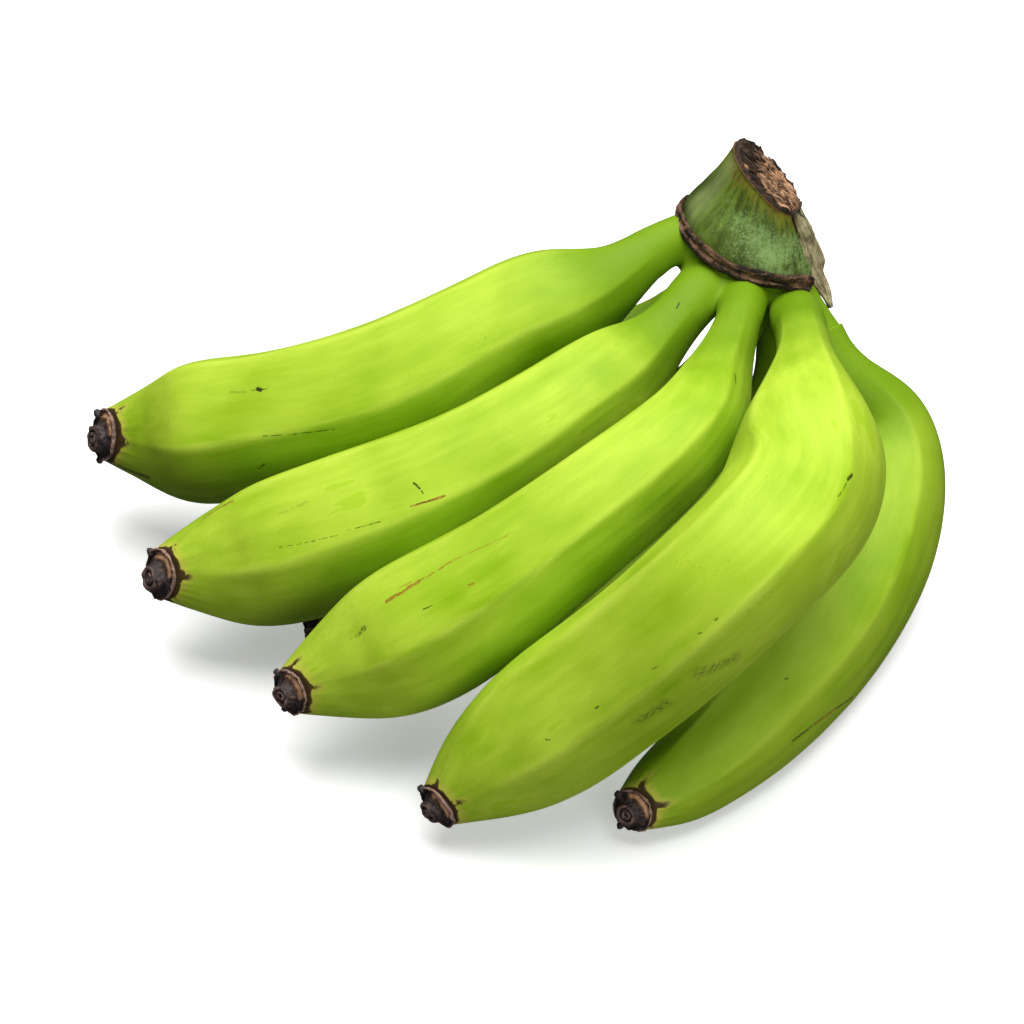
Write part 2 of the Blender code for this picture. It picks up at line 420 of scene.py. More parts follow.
def cubic_through(places: np.ndarray, values: np.ndarray, wanted: np.ndarray) -> np.ndarray:
    """Values of the natural cubic spline that takes given values at given places.

    Args:
        places: The places, rising.
        values: The values there, one row to a place.
        wanted: The places where it is read.

    Returns:
        The values there.
    """
    count = len(values)
    steps = np.diff(places)
    system = np.eye(count)
    right = np.zeros_like(values)
    for i in range(1, count - 1):
        system[i, i - 1:i + 2] = steps[i - 1], 2.0 * (steps[i - 1] + steps[i]), steps[i]
        slopes = (values[i + 1] - values[i]) / steps[i] - (values[i] - values[i - 1]) / steps[i - 1]
        right[i] = 6.0 * slopes
    bends = np.linalg.solve(system, right)
    i = np.clip(np.searchsorted(places, wanted) - 1, 0, count - 2)
    shape = (-1,) + (1,) * (values.ndim - 1)
    a = ((places[i + 1] - wanted) / steps[i]).reshape(shape)
    b = 1.0 - a
    curve = (a ** 3 - a) * bends[i] + (b ** 3 - b) * bends[i + 1]
    return a * values[i] + b * values[i + 1] + curve * steps[i].reshape(shape) ** 2 / 6.0


def even_line(points: list, samples: int) -> tuple[np.ndarray, float]:
    """Evenly spaced points on the natural cubic spline through the given points.

    Args:
        points: The points that it passes through.
        samples: How many points to return.

    Returns:
        The points, and the spline's length.
    """
    knots = np.array(points, dtype=float)
    places = np.concatenate([[0.0], np.cumsum(np.linalg.norm(np.diff(knots, axis=0), axis=1))])
    fine = cubic_through(places, knots, np.linspace(0.0, places[-1], samples))
    along = np.concatenate([[0.0], np.cumsum(np.linalg.norm(np.diff(fine, axis=0), axis=1))])
    even = np.linspace(0.0, along[-1], samples)
    return np.stack([np.interp(even, along, fine[:, k]) for k in range(fine.shape[1])], axis=1), along[-1]


def unit(vectors: np.ndarray) -> np.ndarray:
    """Vectors at length 1."""
    return vectors / np.maximum(np.linalg.norm(vectors, axis=-1, keepdims=True), 1e-12)


def full_turn(steps: int) -> np.ndarray:
    """Even angles once round, in radians."""
    return np.linspace(0.0, 2.0 * pi, steps, endpoint=False)


def bell(values: np.ndarray, width: float) -> np.ndarray:
    """1 where the values are 0, falling off smoothly within a width on both sides."""
    return np.exp(-(values / width) ** 2)


def side_by_side(*parts: np.ndarray) -> np.ndarray:
    """Arrays brought to one shape, as the parts of vectors."""
    return np.stack(np.broadcast_arrays(*parts), axis=-1)


def across(directions: np.ndarray, towards: np.ndarray) -> tuple[np.ndarray, np.ndarray]:
    """Two directions across each of some directions.

    Args:
        directions: Unit vectors.
        towards: The way that the first result leans.

    Returns:
        The first and the second direction, so that direction, first and second are right-handed.
    """
    first = unit(towards - directions * (directions @ towards)[..., None])
    return first, np.cross(directions, first)


def smooth_rise(value: "Number | np.ndarray | float") -> "Number | np.ndarray":
    """0 to 1 with flat ends, on a tree or on an array."""
    held = value.clamped() if isinstance(value, Number) else np.clip(value, 0.0, 1.0)
    return held * held * (3.0 - 2.0 * held)


def lattice_noise(places: np.ndarray, spacing: float, seed: int, octaves: int = 1) -> np.ndarray:
    """Smooth random heights.

    Args:
        places: Where they are wanted.
        spacing: The size of the coarsest lumps.
        seed: Which noise.
        octaves: How many finer layers are added, each half as large.

    Returns:
        Values from about -1 to 1.
    """
    size = 32
    total = np.zeros(places.shape[:-1])
    for octave in range(octaves):
        values = np.random.default_rng(seed + octave).uniform(-1.0, 1.0, (size, size, size))
        scaled = places / spacing * 2.0 ** octave + 100.0
        low = np.floor(scaled).astype(int)
        part = scaled - low
        part = part * part * (3.0 - 2.0 * part)
        layer = np.zeros(places.shape[:-1])
        for corner in range(8):
            step = np.array([corner & 1, corner >> 1 & 1, corner >> 2 & 1])
            weight = np.prod(np.where(step == 1, part, 1.0 - part), axis=-1)
            x, y, z = np.moveaxis((low + step) % size, -1, 0)
            layer += weight * values[x, y, z]
        total += layer * 0.5 ** octave
    return total


def new_object(name: str, data: bpy.types.ID) -> bpy.types.Object:
    """An object for a mesh, a light or a camera, in the scene.

    Args:
        name: Its name.
        data: The mesh, light or camera.

    Returns:
        The object.
    """
    made = bpy.data.objects.new(name, data)
    bpy.context.scene.collection.objects.link(made)
    return made


def all_of(items: bpy.types.bpy_prop_collection, name: str, width: int, kind: type = float) -> np.ndarray:
    """One property of all of a mesh's points, edges or triangles.

    Args:
        items: The mesh's points, edges or triangles.
        name: The property.
        width: How many numbers it has.
        kind: What they are.

    Returns:
        The numbers, one row to an item.
    """
    values = np.zeros(len(items) * width, dtype=kind)
    items.foreach_get(name, values)
    return values.reshape(-1, width)


def with_modifiers(piece: bpy.types.Object) -> bpy.types.Mesh:
    """A plain mesh of a piece as its modifiers leave it.

    Args:
        piece: The piece.

    Returns:
        The mesh.
    """
    depsgraph = bpy.context.evaluated_depsgraph_get()
    depsgraph.update()
    return bpy.data.meshes.new_from_object(piece.evaluated_get(depsgraph), depsgraph=depsgraph)


def mesh_of(name: str, points: np.ndarray, faces: list) -> bpy.types.Mesh:
    """A smooth mesh with its faces outwards.

    Args:
        name: The mesh's name.
        points: Its points, in centimetres in the drawing's frame.
        faces: Its faces, which close.

    Returns:
        The mesh.
    """
    mesh = bpy.data.meshes.new(name)
    mesh.from_pydata((np.asarray(points) + SEAT) * CM, [], faces)
    mesh.update()
    face_outwards(mesh)
    mesh.shade_smooth()
    return mesh


def face_outwards(mesh: bpy.types.Mesh) -> None:
    """Turn a mesh's faces the other way where they enclose a negative volume.

    Args:
        mesh: The mesh, which is closed.
    """
    mesh.calc_loop_triangles()
    points = all_of(mesh.vertices, "co", 3)
    points = points - points.mean(0)
    a, b, c = points[all_of(mesh.loop_triangles, "vertices", 3, int)].transpose(1, 0, 2)
    if np.einsum("ij,ij->", a, np.cross(b, c)) < 0.0:
        mesh.flip_normals()


def grid_faces(rows: int, columns: int) -> list[list[int]]:
    """Faces of a sheet whose points are rings.

    Args:
        rows: How many rings there are.
        columns: How many points a ring has.

    Returns:
        The faces' corners, ring by ring.
    """
    row, step = np.meshgrid(np.arange(rows - 1), np.arange(columns), indexing="ij")
    after = (step + 1) % columns
    near, far = row * columns, (row + 1) * columns
    return np.stack([near + step, near + after, far + after, far + step], axis=-1).reshape(-1, 4).tolist()


def lofted(name: str, rings: np.ndarray) -> bpy.types.Mesh:
    """A closed mesh through equal rings.

    Args:
        name: The mesh's name.
        rings: Points as rings by steps by three.

    Returns:
        The mesh. Each end is a fan about the ring's middle.
    """
    rows, steps = rings.shape[:2]
    points = np.concatenate([rings.reshape(-1, 3), rings[0].mean(0)[None], rings[-1].mean(0)[None]])
    faces = grid_faces(rows, steps)
    first, last = rows * steps, rows * steps + 1
    for i in range(steps):
        j = (i + 1) % steps
        faces.append([first, j, i])
        faces.append([last, (rows - 1) * steps + i, (rows - 1) * steps + j])
    return mesh_of(name, points, faces)


def relaxed(points: np.ndarray, edges: np.ndarray, times: int) -> np.ndarray:
    """Points drawn towards their neighbours' mean.

    Args:
        points: The points.
        edges: The pairs of neighbours.
        times: How often they are drawn half of the way.

    Returns:
        The points.
    """
    count = np.bincount(edges.ravel(), minlength=len(points))[:, None]
    for _ in range(times):
        total = np.zeros_like(points)
        np.add.at(total, edges[:, 0], points[edges[:, 1]])
        np.add.at(total, edges[:, 1], points[edges[:, 0]])
        points = points * 0.5 + total / np.maximum(count, 1) * 0.5
    return points


def add_vectors(mesh: bpy.types.Mesh, name: str, values: np.ndarray) -> None:
    """Store a vector attribute on a mesh's points.

    Args:
        mesh: The mesh.
        name: The attribute's name.
        values: Its vectors. Where some are missing at the end, the last one is repeated.
    """
    values = values.reshape(-1, 3)
    missing = len(mesh.vertices) - len(values)
    if missing > 0:
        values = np.concatenate([values, np.repeat(values[-1:], missing, axis=0)])
    stored = mesh.attributes.new(name, "FLOAT_VECTOR", "POINT")
    stored.data.foreach_set("vector", np.ascontiguousarray(values, dtype=np.float32).ravel())


def grown(piece: bpy.types.Object, tree: Tree, values: dict[str, object]) -> None:
    """Run a Geometry Nodes tree on a piece and keep its result as the piece's plain mesh.

    Args:
        piece: The piece, whose mesh is the tree's first input.
        tree: The tree.
        values: The tree's other inputs by name.
    """
    modifier = piece.modifiers.new("grown", "NODES")
    modifier.node_group = tree.tree
    for item in tree.tree.interface.items_tree:
        if item.in_out == "INPUT" and item.name in values:
            modifier[item.identifier] = values[item.name]
    mesh = with_modifiers(piece)
    piece.modifiers.clear()
    piece.data = mesh
    mesh.name = piece.name
    face_outwards(mesh)


def dress(piece: bpy.types.Object, material: bpy.types.Material, slot: str, *nodes: str) -> None:
    """Give a finished piece its material, hang it from the root body, and hide the CAD parts that it stands for.

    Args:
        piece: The piece.
        material: Its material.
        slot: Not used.
        nodes: The CAD nodes that it replaces.
    """
    piece.data.materials.clear()
    piece.data.materials.append(material)
    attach(piece, "root")
    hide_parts(*nodes)
    log.info("%s: %d faces", piece.name, len(piece.data.polygons))


# --- Finishes -------------------------------------------------------------------------------------


class Blemish(Enum):
    """What a mark on the peel is."""

    DARK = "dark"
    RUST = "rust"
    CORK = "cork"


@dataclass(frozen=True)
class Mark:
    """A scratch, scar or scuff on a finger's peel, as a line on its map in centimetres."""

    kind: Blemish
    start: tuple[float, float]
    end: tuple[float, float]
    width: float
    strength: float = 1.0
    broken: float = 0.5

    def mask(self, tree: Tree, along: Number, around: Number, grain: Number, specks: Number) -> Number:
        """How strongly the mark shows.

        Args:
            tree: The material's tree.
            along: Distance along the finger.
            around: Distance round it.
            grain: Noise that frays the mark.
            specks: Finer noise that breaks it up.

        Returns:
            0 to 1.
        """
        du, dv = self.end[0] - self.start[0], self.end[1] - self.start[1]
        length = max(du * du + dv * dv, 1e-4)
        u = along - self.start[0]
        v = around - self.start[1]
        t = ((u * du + v * dv) / length).clamped()
        off_u = u - t * du
        off_v = v - t * dv
        fraying = self.width * 2.5 * min(self.broken, 1.0)
        off = (off_u * off_u + off_v * off_v).root() + (grain - 0.5) * fraying
        kept = tree.rise(specks, 0.30 + 0.11 * self.broken, 0.36 + 0.11 * self.broken)
        return tree.rise(off, self.width, self.width * 0.3) * kept * self.strength


@dataclass(frozen=True)
class GreenPeel:
    """Waxy unripe peel: soft mottling, fine lengthwise streaks, specks, and scorched tips."""

    bright: Colour = colour(181, 211, 60)
    mid: Colour = colour(168, 202, 44)
    deep: Colour = colour(136, 176, 14)
    crest: Colour = colour(198, 220, 80)
    neck: Colour = colour(100, 138, 10)
    speck: Colour = colour(52, 58, 18)
    rust: Colour = colour(150, 96, 34)
    cork: Colour = colour(98, 100, 36)
    scorch: Colour = colour(58, 30, 30)
    halo: Colour = colour(208, 196, 84)

    def material(
        self, name: str, length: float, marks: tuple[Mark, ...], seed: float, shade: float = 0.0
    ) -> bpy.types.Material:
        """The peel's material.

        Args:
            name: The material's name.
            length: How long the finger's skin is.
            marks: Its own marks.
            seed: What sets its patterns apart.
            shade: How far the whole peel goes to its darker green.

        Returns:
            The material.
        """
        surface = Surface(name, specular=0.14)
        tree = surface.tree
        space = Arrow(tree, tree.attribute("finger_space").outputs["Vector"])
        along, back, side = space.parts()
        stretched = tree.vector(along * 0.16 + seed, back, side)
        place = surface.place()
        clouds = tree.noise(place, 0.30, 2.0, 0.5)
        streaks = tree.noise(stretched, 1.9, 4.0, 0.6)
        fine = tree.noise(tree.vector(along * 0.35 + seed, back, side), 8.0, 3.0, 0.6)
        tone = clouds * 0.6 + streaks * 0.4
        base = tree.ramp(tone, [(0.30, self.deep), (0.62, self.bright), (0.45, self.mid)])
        base = tree.mix(tree.rise(fine, 0.52, 0.78) * 0.14, base, self.deep)
        crest = tree.number("ShaderNodeAttribute", {"attribute_name": "crest"}, {}, "Fac")
        left = length - along
        # Paler, yellower green along the ridges' crests: partly the peel's own colour there, partly a painted
        # highlight on the ridges.
        crest_tint_and_highlight = crest * tree.rise(streaks, 0.3, 0.6) * tree.rise(left, 1.0, 3.5) * 0.5
        base = tree.mix(crest_tint_and_highlight, base, self.crest)
        # Darker green towards the crown: partly the necks' own deeper green, partly painted shade under the
        # crown's stub.
        darker = (tree.rise(along + (clouds - 0.5) * 4.0, 7.5, 1.0) * 0.85).at_least(shade)
        base = tree.mix(darker, base, self.neck)
        # Small dark specks, most of them in loose groups and along the ridges.
        grouped = (tree.rise(tree.noise(place, 0.9), 0.5, 0.66) + crest * 0.8).clamped()
        specks = tree.rise(tree.cells(place, 4.2), 0.085, 0.03) * grouped
        base = tree.mix(specks * 0.72, base, self.speck)
        dust = tree.rise(tree.noise(place, 11.0, 2.0), 0.63, 0.76)
        dust = dust * tree.rise(tree.noise(place, 0.7), 0.5, 0.68)
        base = tree.mix(dust * 0.34, base, self.cork)
        height = streaks * 0.3 + fine * 0.12 - specks * 0.25
        base, height = self._marked(tree, base, height, marks, along)
        base = self._scorched(tree, base, left, crest, tree.noise(place, 3.2, 3.0))
        rough = 0.44 + clouds * 0.1 + streaks * 0.06
        return surface.finish(base, rough, height, 0.018)

    def _marked(
        self, tree: Tree, base: Arrow, height: Number, marks: tuple[Mark, ...], along: Number
    ) -> tuple[Arrow, Number]:
        """Lay a finger's marks over its colour and height.

        Args:
            tree: The material's tree.
            base: The peel's colour.
            height: The height of its relief.
            marks: The marks.
            along: Distance along the finger.

        Returns:
            The colour and the height.
        """
        tones = {Blemish.DARK: self.speck, Blemish.RUST: self.rust, Blemish.CORK: self.cork}
        uv = tree.node("ShaderNodeUVMap", {"uv_map": "skin"})
        u, v, _ = Arrow(tree, uv.outputs[0]).parts()
        flat = tree.vector(u * (UV_SPAN * 1.6), v * (UV_SPAN * 4.5), 0.0)
        grain = tree.noise(flat, 1.3, 4.0, 0.65)
        specks = tree.noise(flat, 4.0, 3.0, 0.6)
        around = (v - 0.5) * UV_SPAN
        for mark in marks:
            shown = mark.mask(tree, along, around, grain, specks)
            base = tree.mix(shown, base, tones[mark.kind])
            height = height - shown * 0.35
        return base, height

    def _scorched(self, tree: Tree, base: Arrow, left: Number, crest: Number, grain: Number) -> Arrow:
        """Yellow the peel at the tip, and scorch it in short tongues that run up the ridges.

        Args:
            tree: The material's tree.
            base: The peel's colour.
            left: Distance to the tip.
            crest: How near a ridge's crest it is.
            grain: Noise that varies the reach.

        Returns:
            The colour.
        """
        tongues = crest.at_least(0.0) ** 0.22 * tree.rise(grain, 0.38, 0.60)
        reach = (tongues * 0.42 + 0.07 + (grain - 0.5) * 0.2).at_least(0.03)
        base = tree.mix(tree.rise(left / (reach * 1.5 + 0.3), 1.0, 0.15) * 0.65, base, self.halo)
        scorched = tree.rise(left / reach, 1.15, 0.45)
        return tree.mix(scorched * 0.94, base, self.scorch)


@dataclass(frozen=True)
class DryBlossom:
    """Dried flower: purple-black, with a pale thin rim and a worn tan patch."""

    dark: Colour = colour(34, 25, 27)
    mid: Colour = colour(84, 62, 58)
    rim: Colour = colour(168, 134, 118)
    tan: Colour = colour(206, 156, 112)

    def material(self) -> bpy.types.Material:
        """The dried blossom's material. It reads blossom_space: height, how near the rim's crest, how tan."""
        surface = Surface("dried_blossom", specular=0.5)
        tree = surface.tree
        place = surface.place()
        space = Arrow(tree, tree.attribute("blossom_space").outputs["Vector"])
        _, crest, worn = space.parts()
        grain = tree.noise(place, 7.0, 5.0, 0.7)
        base = tree.mix(tree.rise(grain, 0.42, 0.72), self.dark, self.mid)
        base = tree.mix(crest * tree.rise(grain, 0.25, 0.55) * 0.9, base, self.rim)
        base = tree.mix((worn * tree.rise(grain + worn * 0.2, 0.42, 0.62)).clamped() * 0.9, base, self.tan)
        return surface.finish(base, 0.42 + grain * 0.3, grain + tree.noise(place, 22.0, 3.0) * 0.3, 0.04)


@dataclass(frozen=True)
class StubSkin:
    """The crown's own skin: dull dark green with pale bloom, browning towards the cut."""

    dark: Colour = colour(62, 78, 16)
    green: Colour = colour(96, 122, 36)
    bloom: Colour = colour(150, 180, 116)
    yellow: Colour = colour(132, 130, 34)
    brown: Colour = colour(104, 66, 34)
    pale: Colour = colour(170, 188, 120)

    def material(self) -> bpy.types.Material:
        """The stub's material. It reads crown_space: height, and the place round the stub."""
        surface = Surface("stub_skin", specular=0.3)
        tree = surface.tree
        place = surface.place()
        space = Arrow(tree, tree.attribute("crown_space").outputs["Vector"])
        height, angle_x, angle_y = space.parts()
        broad = tree.noise(place, 0.9, 3.0, 0.55)
        fine = tree.noise(place, 9.0, 6.0, 0.78)
        grain = tree.noise(tree.vector(height * 0.8, angle_x * 3.4, angle_y * 3.4), 3.2, 4.0, 0.6)
        base = tree.mix(tree.rise(grain * 0.5 + broad * 0.5, 0.40, 0.60), self.dark, self.green)
        # The waxy bloom lies in a wide patch in front, and thins out towards both ends and to the left.
        front = tree.rise(angle_x * 0.55 - angle_y * 0.9, -0.1, 1.0)
        patch = front * tree.rise(height, 0.0, 0.12) * tree.rise(height, 0.92, 0.55)
        bloom = tree.rise(fine * 0.66 + broad * 0.30 + patch * 0.14, 0.52, 0.70)
        base = tree.mix(bloom * 0.62, base, self.bloom)
        near_cut = tree.rise(height + (grain - 0.5) * 0.9, 0.62, 1.0)
        base = tree.mix(near_cut * 0.75, base, self.yellow)
        rust = tree.rise(height + (grain - 0.5) * 1.3, 0.80, 1.05) * tree.rise(broad, 0.40, 0.60)
        base = tree.mix(rust * 0.85, base, self.brown)
        # A painted highlight: a narrow pale band down the stub's left edge, above its foot.
        left_edge_highlight = tree.rise(angle_x * -0.94 - angle_y * 0.22, 0.90, 1.0)
        left_edge_highlight = left_edge_highlight * tree.rise(height + broad * 0.3, 0.25, 0.5)
        base = tree.mix(left_edge_highlight * 0.45, base, self.pale)
        foot = tree.rise(height - grain * 0.16, 0.16, 0.0)
        base = tree.mix(foot * 0.75, base, self.dark)
        lip = tree.rise(height, 0.985, 1.0)
        base = tree.mix(lip * 0.9, base, self.brown)
        return surface.finish(base, 0.5 + fine * 0.2, fine * 0.55 + grain * 0.4, 0.035)


@dataclass(frozen=True)
class DryFibre:
    """Dried, torn plant fibre, from straw to black."""

    name: str
    pale: Colour
    mid: Colour
    dark: Colour
    across: float = 7.0
    balance: float = 0.5

    def material(self) -> bpy.types.Material:
        """The fibre's material. It reads fibre_space: along the fibres, across them, and how charred."""
        surface = Surface(self.name, specular=0.3)
        tree = surface.tree
        space = Arrow(tree, tree.attribute("fibre_space").outputs["Vector"])
        along, side, charred = space.parts()
        place = surface.place()
        strands = tree.noise(tree.vector(along * 0.8, side * self.across, 0.0), 1.0, 5.0, 0.75, 0.6)
        blotch = tree.noise(place, 2.2, 5.0, 0.7)
        tone = strands * 0.62 + blotch * 0.38 + (0.5 - self.balance)
        base = tree.ramp(tone, [(0.40, self.dark), (0.60, self.pale), (0.49, self.mid)])
        char = tree.rise(charred + (blotch - 0.5) * 0.9, 0.35, 0.7)
        base = tree.mix(char * 0.9, base, CHARCOAL)
        return surface.finish(base, 0.72 + strands * 0.2, strands + blotch * 0.3, 0.06)


# --- The hand -------------------------------------------------------------------------------------


def finger_tree() -> Tree:
    """The Geometry Nodes tree that lofts a finger's skin along its route.

    Returns:
        The tree. Its lengths are metres.
    """
    floats = (
        "Starts", "Leaves", "Skin Length", "Route Length", "Turn",
        "Crest", "Lumps", "Flutes", "Tip Slant", "Seed",
    )
    sockets = {"Route": "NodeSocketGeometry", "Rings": "NodeSocketInt", "Around": "NodeSocketInt"}
    sockets.update({name: "NodeSocketFloat" for name in floats})
    sockets["Skin"] = "NodeSocketMaterial"
    tree = Tree.geometry("finger_skin", sockets)
    given = {name: tree.given(name) for name in sockets}
    inputs = {"Size X": 1.0, "Size Y": 1.0, "Vertices X": given["Rings"], "Vertices Y": given["Around"]}
    grid = tree.node("GeometryNodeMeshGrid", {}, inputs)
    x, y, _ = tree.arrow("GeometryNodeInputPosition", {}, {}).parts()
    reached = (x + 0.5) * (1.0 + 2.0 * CAP) - CAP
    closing = (0.0 - reached).at_least(reached - 1.0).at_least(0.0) / CAP
    rounding = (1.0 - closing * closing).at_least(0.0).root()
    share = given["Starts"] + (1.0 - given["Starts"]) * reached.clamped()
    angle = y * (2.0 * pi)
    turned = (angle - given["Turn"]) * float(RIDGES)
    factor = (given["Leaves"] + share * given["Skin Length"]) / given["Route Length"]
    curve = tree.node("GeometryNodeMeshToCurve", {}, {"Mesh": given["Route"]})
    girth = tree.node("GeometryNodeInputNamedAttribute", {"data_type": "FLOAT"}, {"Name": "girth"})
    sampled = tree.node(
        "GeometryNodeSampleCurve", {"mode": "FACTOR", "data_type": "FLOAT"},
        {"Curves": curve.outputs[0], "Factor": factor, "Value": girth.outputs[0]},
    )
    centre = Arrow(tree, sampled.outputs["Position"])
    tangent = Arrow(tree, sampled.outputs["Tangent"]).unit()
    outward = tree.vector(*(float(v) for v in OUTWARD))
    back = (outward - tangent * outward.dot(tangent)).unit()
    side = tangent.cross(back)

    radius = Number(tree, sampled.outputs["Value"])
    ridged = smooth_rise(share / RIDGES_GROW_OVER) * smooth_rise((1.0 - share) / RIDGES_FADE_OVER)
    crest = (turned.cosine() * 0.5 + 0.5) ** CREST_SHARPNESS * smooth_rise(share / RIDGES_GROW_OVER)
    off_ridge = (turned.cosine() * RIDGE_ROUNDING).arc_cosine() / RIDGES
    ridge = (cos(pi / RIDGES) / (pi / RIDGES - off_ridge).cosine() - FACET_MEAN) * given["Crest"]
    ring = tree.vector(angle.cosine(), angle.sine(), 0.0)
    lump_place = centre * LUMPS_TO_METRE + ring * 0.9 + tree.vector(given["Seed"], 0.0, 0.0)
    lumps = tree.noise(lump_place, 1.0, 1.0) - 0.5
    flute_place = ring * 2.3 + tree.vector(given["Seed"] * 3.0, 0.0, share * 2.2)
    flutes = tree.noise(flute_place, 1.0, 1.5) - 0.5
    pucker_place = ring * 4.0 + tree.vector(given["Seed"] * 5.0, 0.0, share * 6.0)
    puckers = (tree.noise(pucker_place, 1.0, 2.0) - 0.5) * tree.rise(share, 0.93, 1.0) * 0.10
    shape = 1.0 + ridged * (ridge + flutes * given["Flutes"]) + lumps * given["Lumps"] * ridged + puckers
    # Inside the cushion the skin keeps just below the cushion's own.
    handover = (HANDOVER * CM - share * given["Skin Length"]) / (0.45 * CM)
    dive = smooth_rise(handover) * 0.02
    reach = radius * shape * (1.0 - dive) * rounding
    offset = back * (reach * angle.cosine() * (1.0 - ridged * FLATTEN)) + side * (reach * angle.sine())
    slant = given["Tip Slant"] * tree.rise(share, SLANT_FROM, 1.0) * rounding
    offset = offset - tangent * (angle.cosine() * slant)
    inputs = {"Geometry": grid.outputs["Mesh"], "Position": centre + offset}
    placed = tree.node("GeometryNodeSetPosition", {}, inputs)

    along = share * given["Skin Length"] * (1.0 / CM)
    around = angle * radius * (1.0 / CM)
    space = tree.vector(along, reach * angle.cosine() * (1.0 / CM), reach * angle.sine() * (1.0 / CM))
    # The positions are already moved when an attribute is stored, so the maps are stored first.
    crested = tree.node(
        "GeometryNodeStoreNamedAttribute", {"data_type": "FLOAT", "domain": "POINT"},
        {"Geometry": grid.outputs["Mesh"], "Name": "crest", "Value": crest},
    )
    stored = tree.node(
        "GeometryNodeStoreNamedAttribute", {"data_type": "FLOAT_VECTOR", "domain": "POINT"},
        {"Geometry": crested.outputs[0], "Name": "finger_space", "Value": space},
    )
    mapped = tree.node(
        "GeometryNodeStoreNamedAttribute", {"data_type": "FLOAT2", "domain": "CORNER"},
        {"Geometry": stored.outputs[0], "Name": "skin",
         "Value": tree.vector(along / UV_SPAN, around / UV_SPAN + 0.5, 0.0)},
    )
    tree.tree.links.new(mapped.outputs[0], placed.inputs["Geometry"])
    merged = tree.node("GeometryNodeMergeByDistance", {}, {"Geometry": placed.outputs[0], "Distance": MERGE})
    smooth = tree.node("GeometryNodeSetShadeSmooth", {}, {"Geometry": merged.outputs[0]})
    tree.finish_geometry(smooth.outputs[0], given["Skin"])
    return tree


@dataclass
class Finger:
    """One fruit: its skin, and the dried blossom end on its tip."""

    name: str
    route: list[Point]
    radii: list[float]  # at RADIUS_SHARES of the skin's length
    leaves: float  # how far along the route the skin leaves the crown
    turn: float  # degrees from the finger's back to its first ridge
    tip_leans: float = 20.0  # degrees that the blossom end turns towards the finger's back
    shade: float = 0.0  # how far its peel goes to the darker green
    rings: int = 330
    around: int = 145
    crest: float = 0.58
    lumps: float = 0.03
    flutes: float = 0.025
    seed: int = 1
    marks: tuple[Mark, ...] = ()
    line: np.ndarray = field(init=False)
    length: float = field(init=False)

    def __post_init__(self) -> None:
        """Work out the route's even line."""
        self.line, self.length = even_line(self.route, LINE_SAMPLES)

    @property
    def skin_length(self) -> float:
        """How long the skin is, from the crown to the blossom end."""
        return self.length - BLOSSOM_INSET - self.leaves

    def radius_at(self, shares: np.ndarray) -> np.ndarray:
        """Mean radius at shares of the skin's length. Inside the crown it stays what it is at the start."""
        return cubic_through(RADIUS_SHARES, np.array(self.radii), np.clip(shares, 0.0, 1.0))

    def tangents(self) -> np.ndarray:
        """The line's directions."""
        return unit(np.gradient(self.line, axis=0))

    def end(self) -> tuple[np.ndarray, np.ndarray]:
        """Where the skin ends, and the way that it points there."""
        index = round((self.length - BLOSSOM_INSET) / self.length * (LINE_SAMPLES - 1))
        return self.line[index], self.tangents()[index]

    def build(self, tree: Tree, peel: GreenPeel) -> bpy.types.Object:
        """Loft and dress the finger's skin.

        Args:
            tree: The finger tree.
            peel: The finish.

        Returns:
            The piece.
        """
        route = bpy.data.meshes.new(f"route_{self.name}")
        edges = [(i, i + 1) for i in range(LINE_SAMPLES - 1)]
        route.from_pydata((self.line + SEAT) * CM, edges, [])
        shares = (np.linspace(0.0, self.length, LINE_SAMPLES) - self.leaves) / self.skin_length
        girth = route.attributes.new("girth", "FLOAT", "POINT")
        girth.data.foreach_set("value", self.radius_at(shares) * CM)
        piece = new_object(f"peel_{self.name}", route)
        material = peel.material(piece.name, self.skin_length, self.marks, self.seed * 7.3, self.shade)
        slant = tan(radians(self.tip_leans)) * self.radii[-1]
        grown(piece, tree, {
            "Rings": self.rings, "Around": self.around, "Starts": -1.0 / self.skin_length,
            "Leaves": self.leaves * CM, "Skin Length": self.skin_length * CM, "Route Length": self.length * CM,
            "Turn": radians(self.turn), "Crest": self.crest, "Tip Slant": slant * CM,
            "Lumps": self.lumps, "Flutes": self.flutes, "Seed": self.seed * 3.7, "Skin": material,
        })
        self._check(piece)
        dress(piece, material, "green_skin", f"finger_{self.name}")
        return piece

    def _check(self, piece: bpy.types.Object) -> None:
        """Log how far the skin's box is from its solid's.

        Args:
            piece: The skin.
        """
        low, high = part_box(f"finger_{self.name}")
        corners = all_of(piece.data.vertices, "co", 3)
        off = max(np.abs(corners.max(0) - high).max(), np.abs(corners.min(0) - low).max())
        log.info("%s is within %.1f mm of its solid's box", piece.name, off * 1000.0)


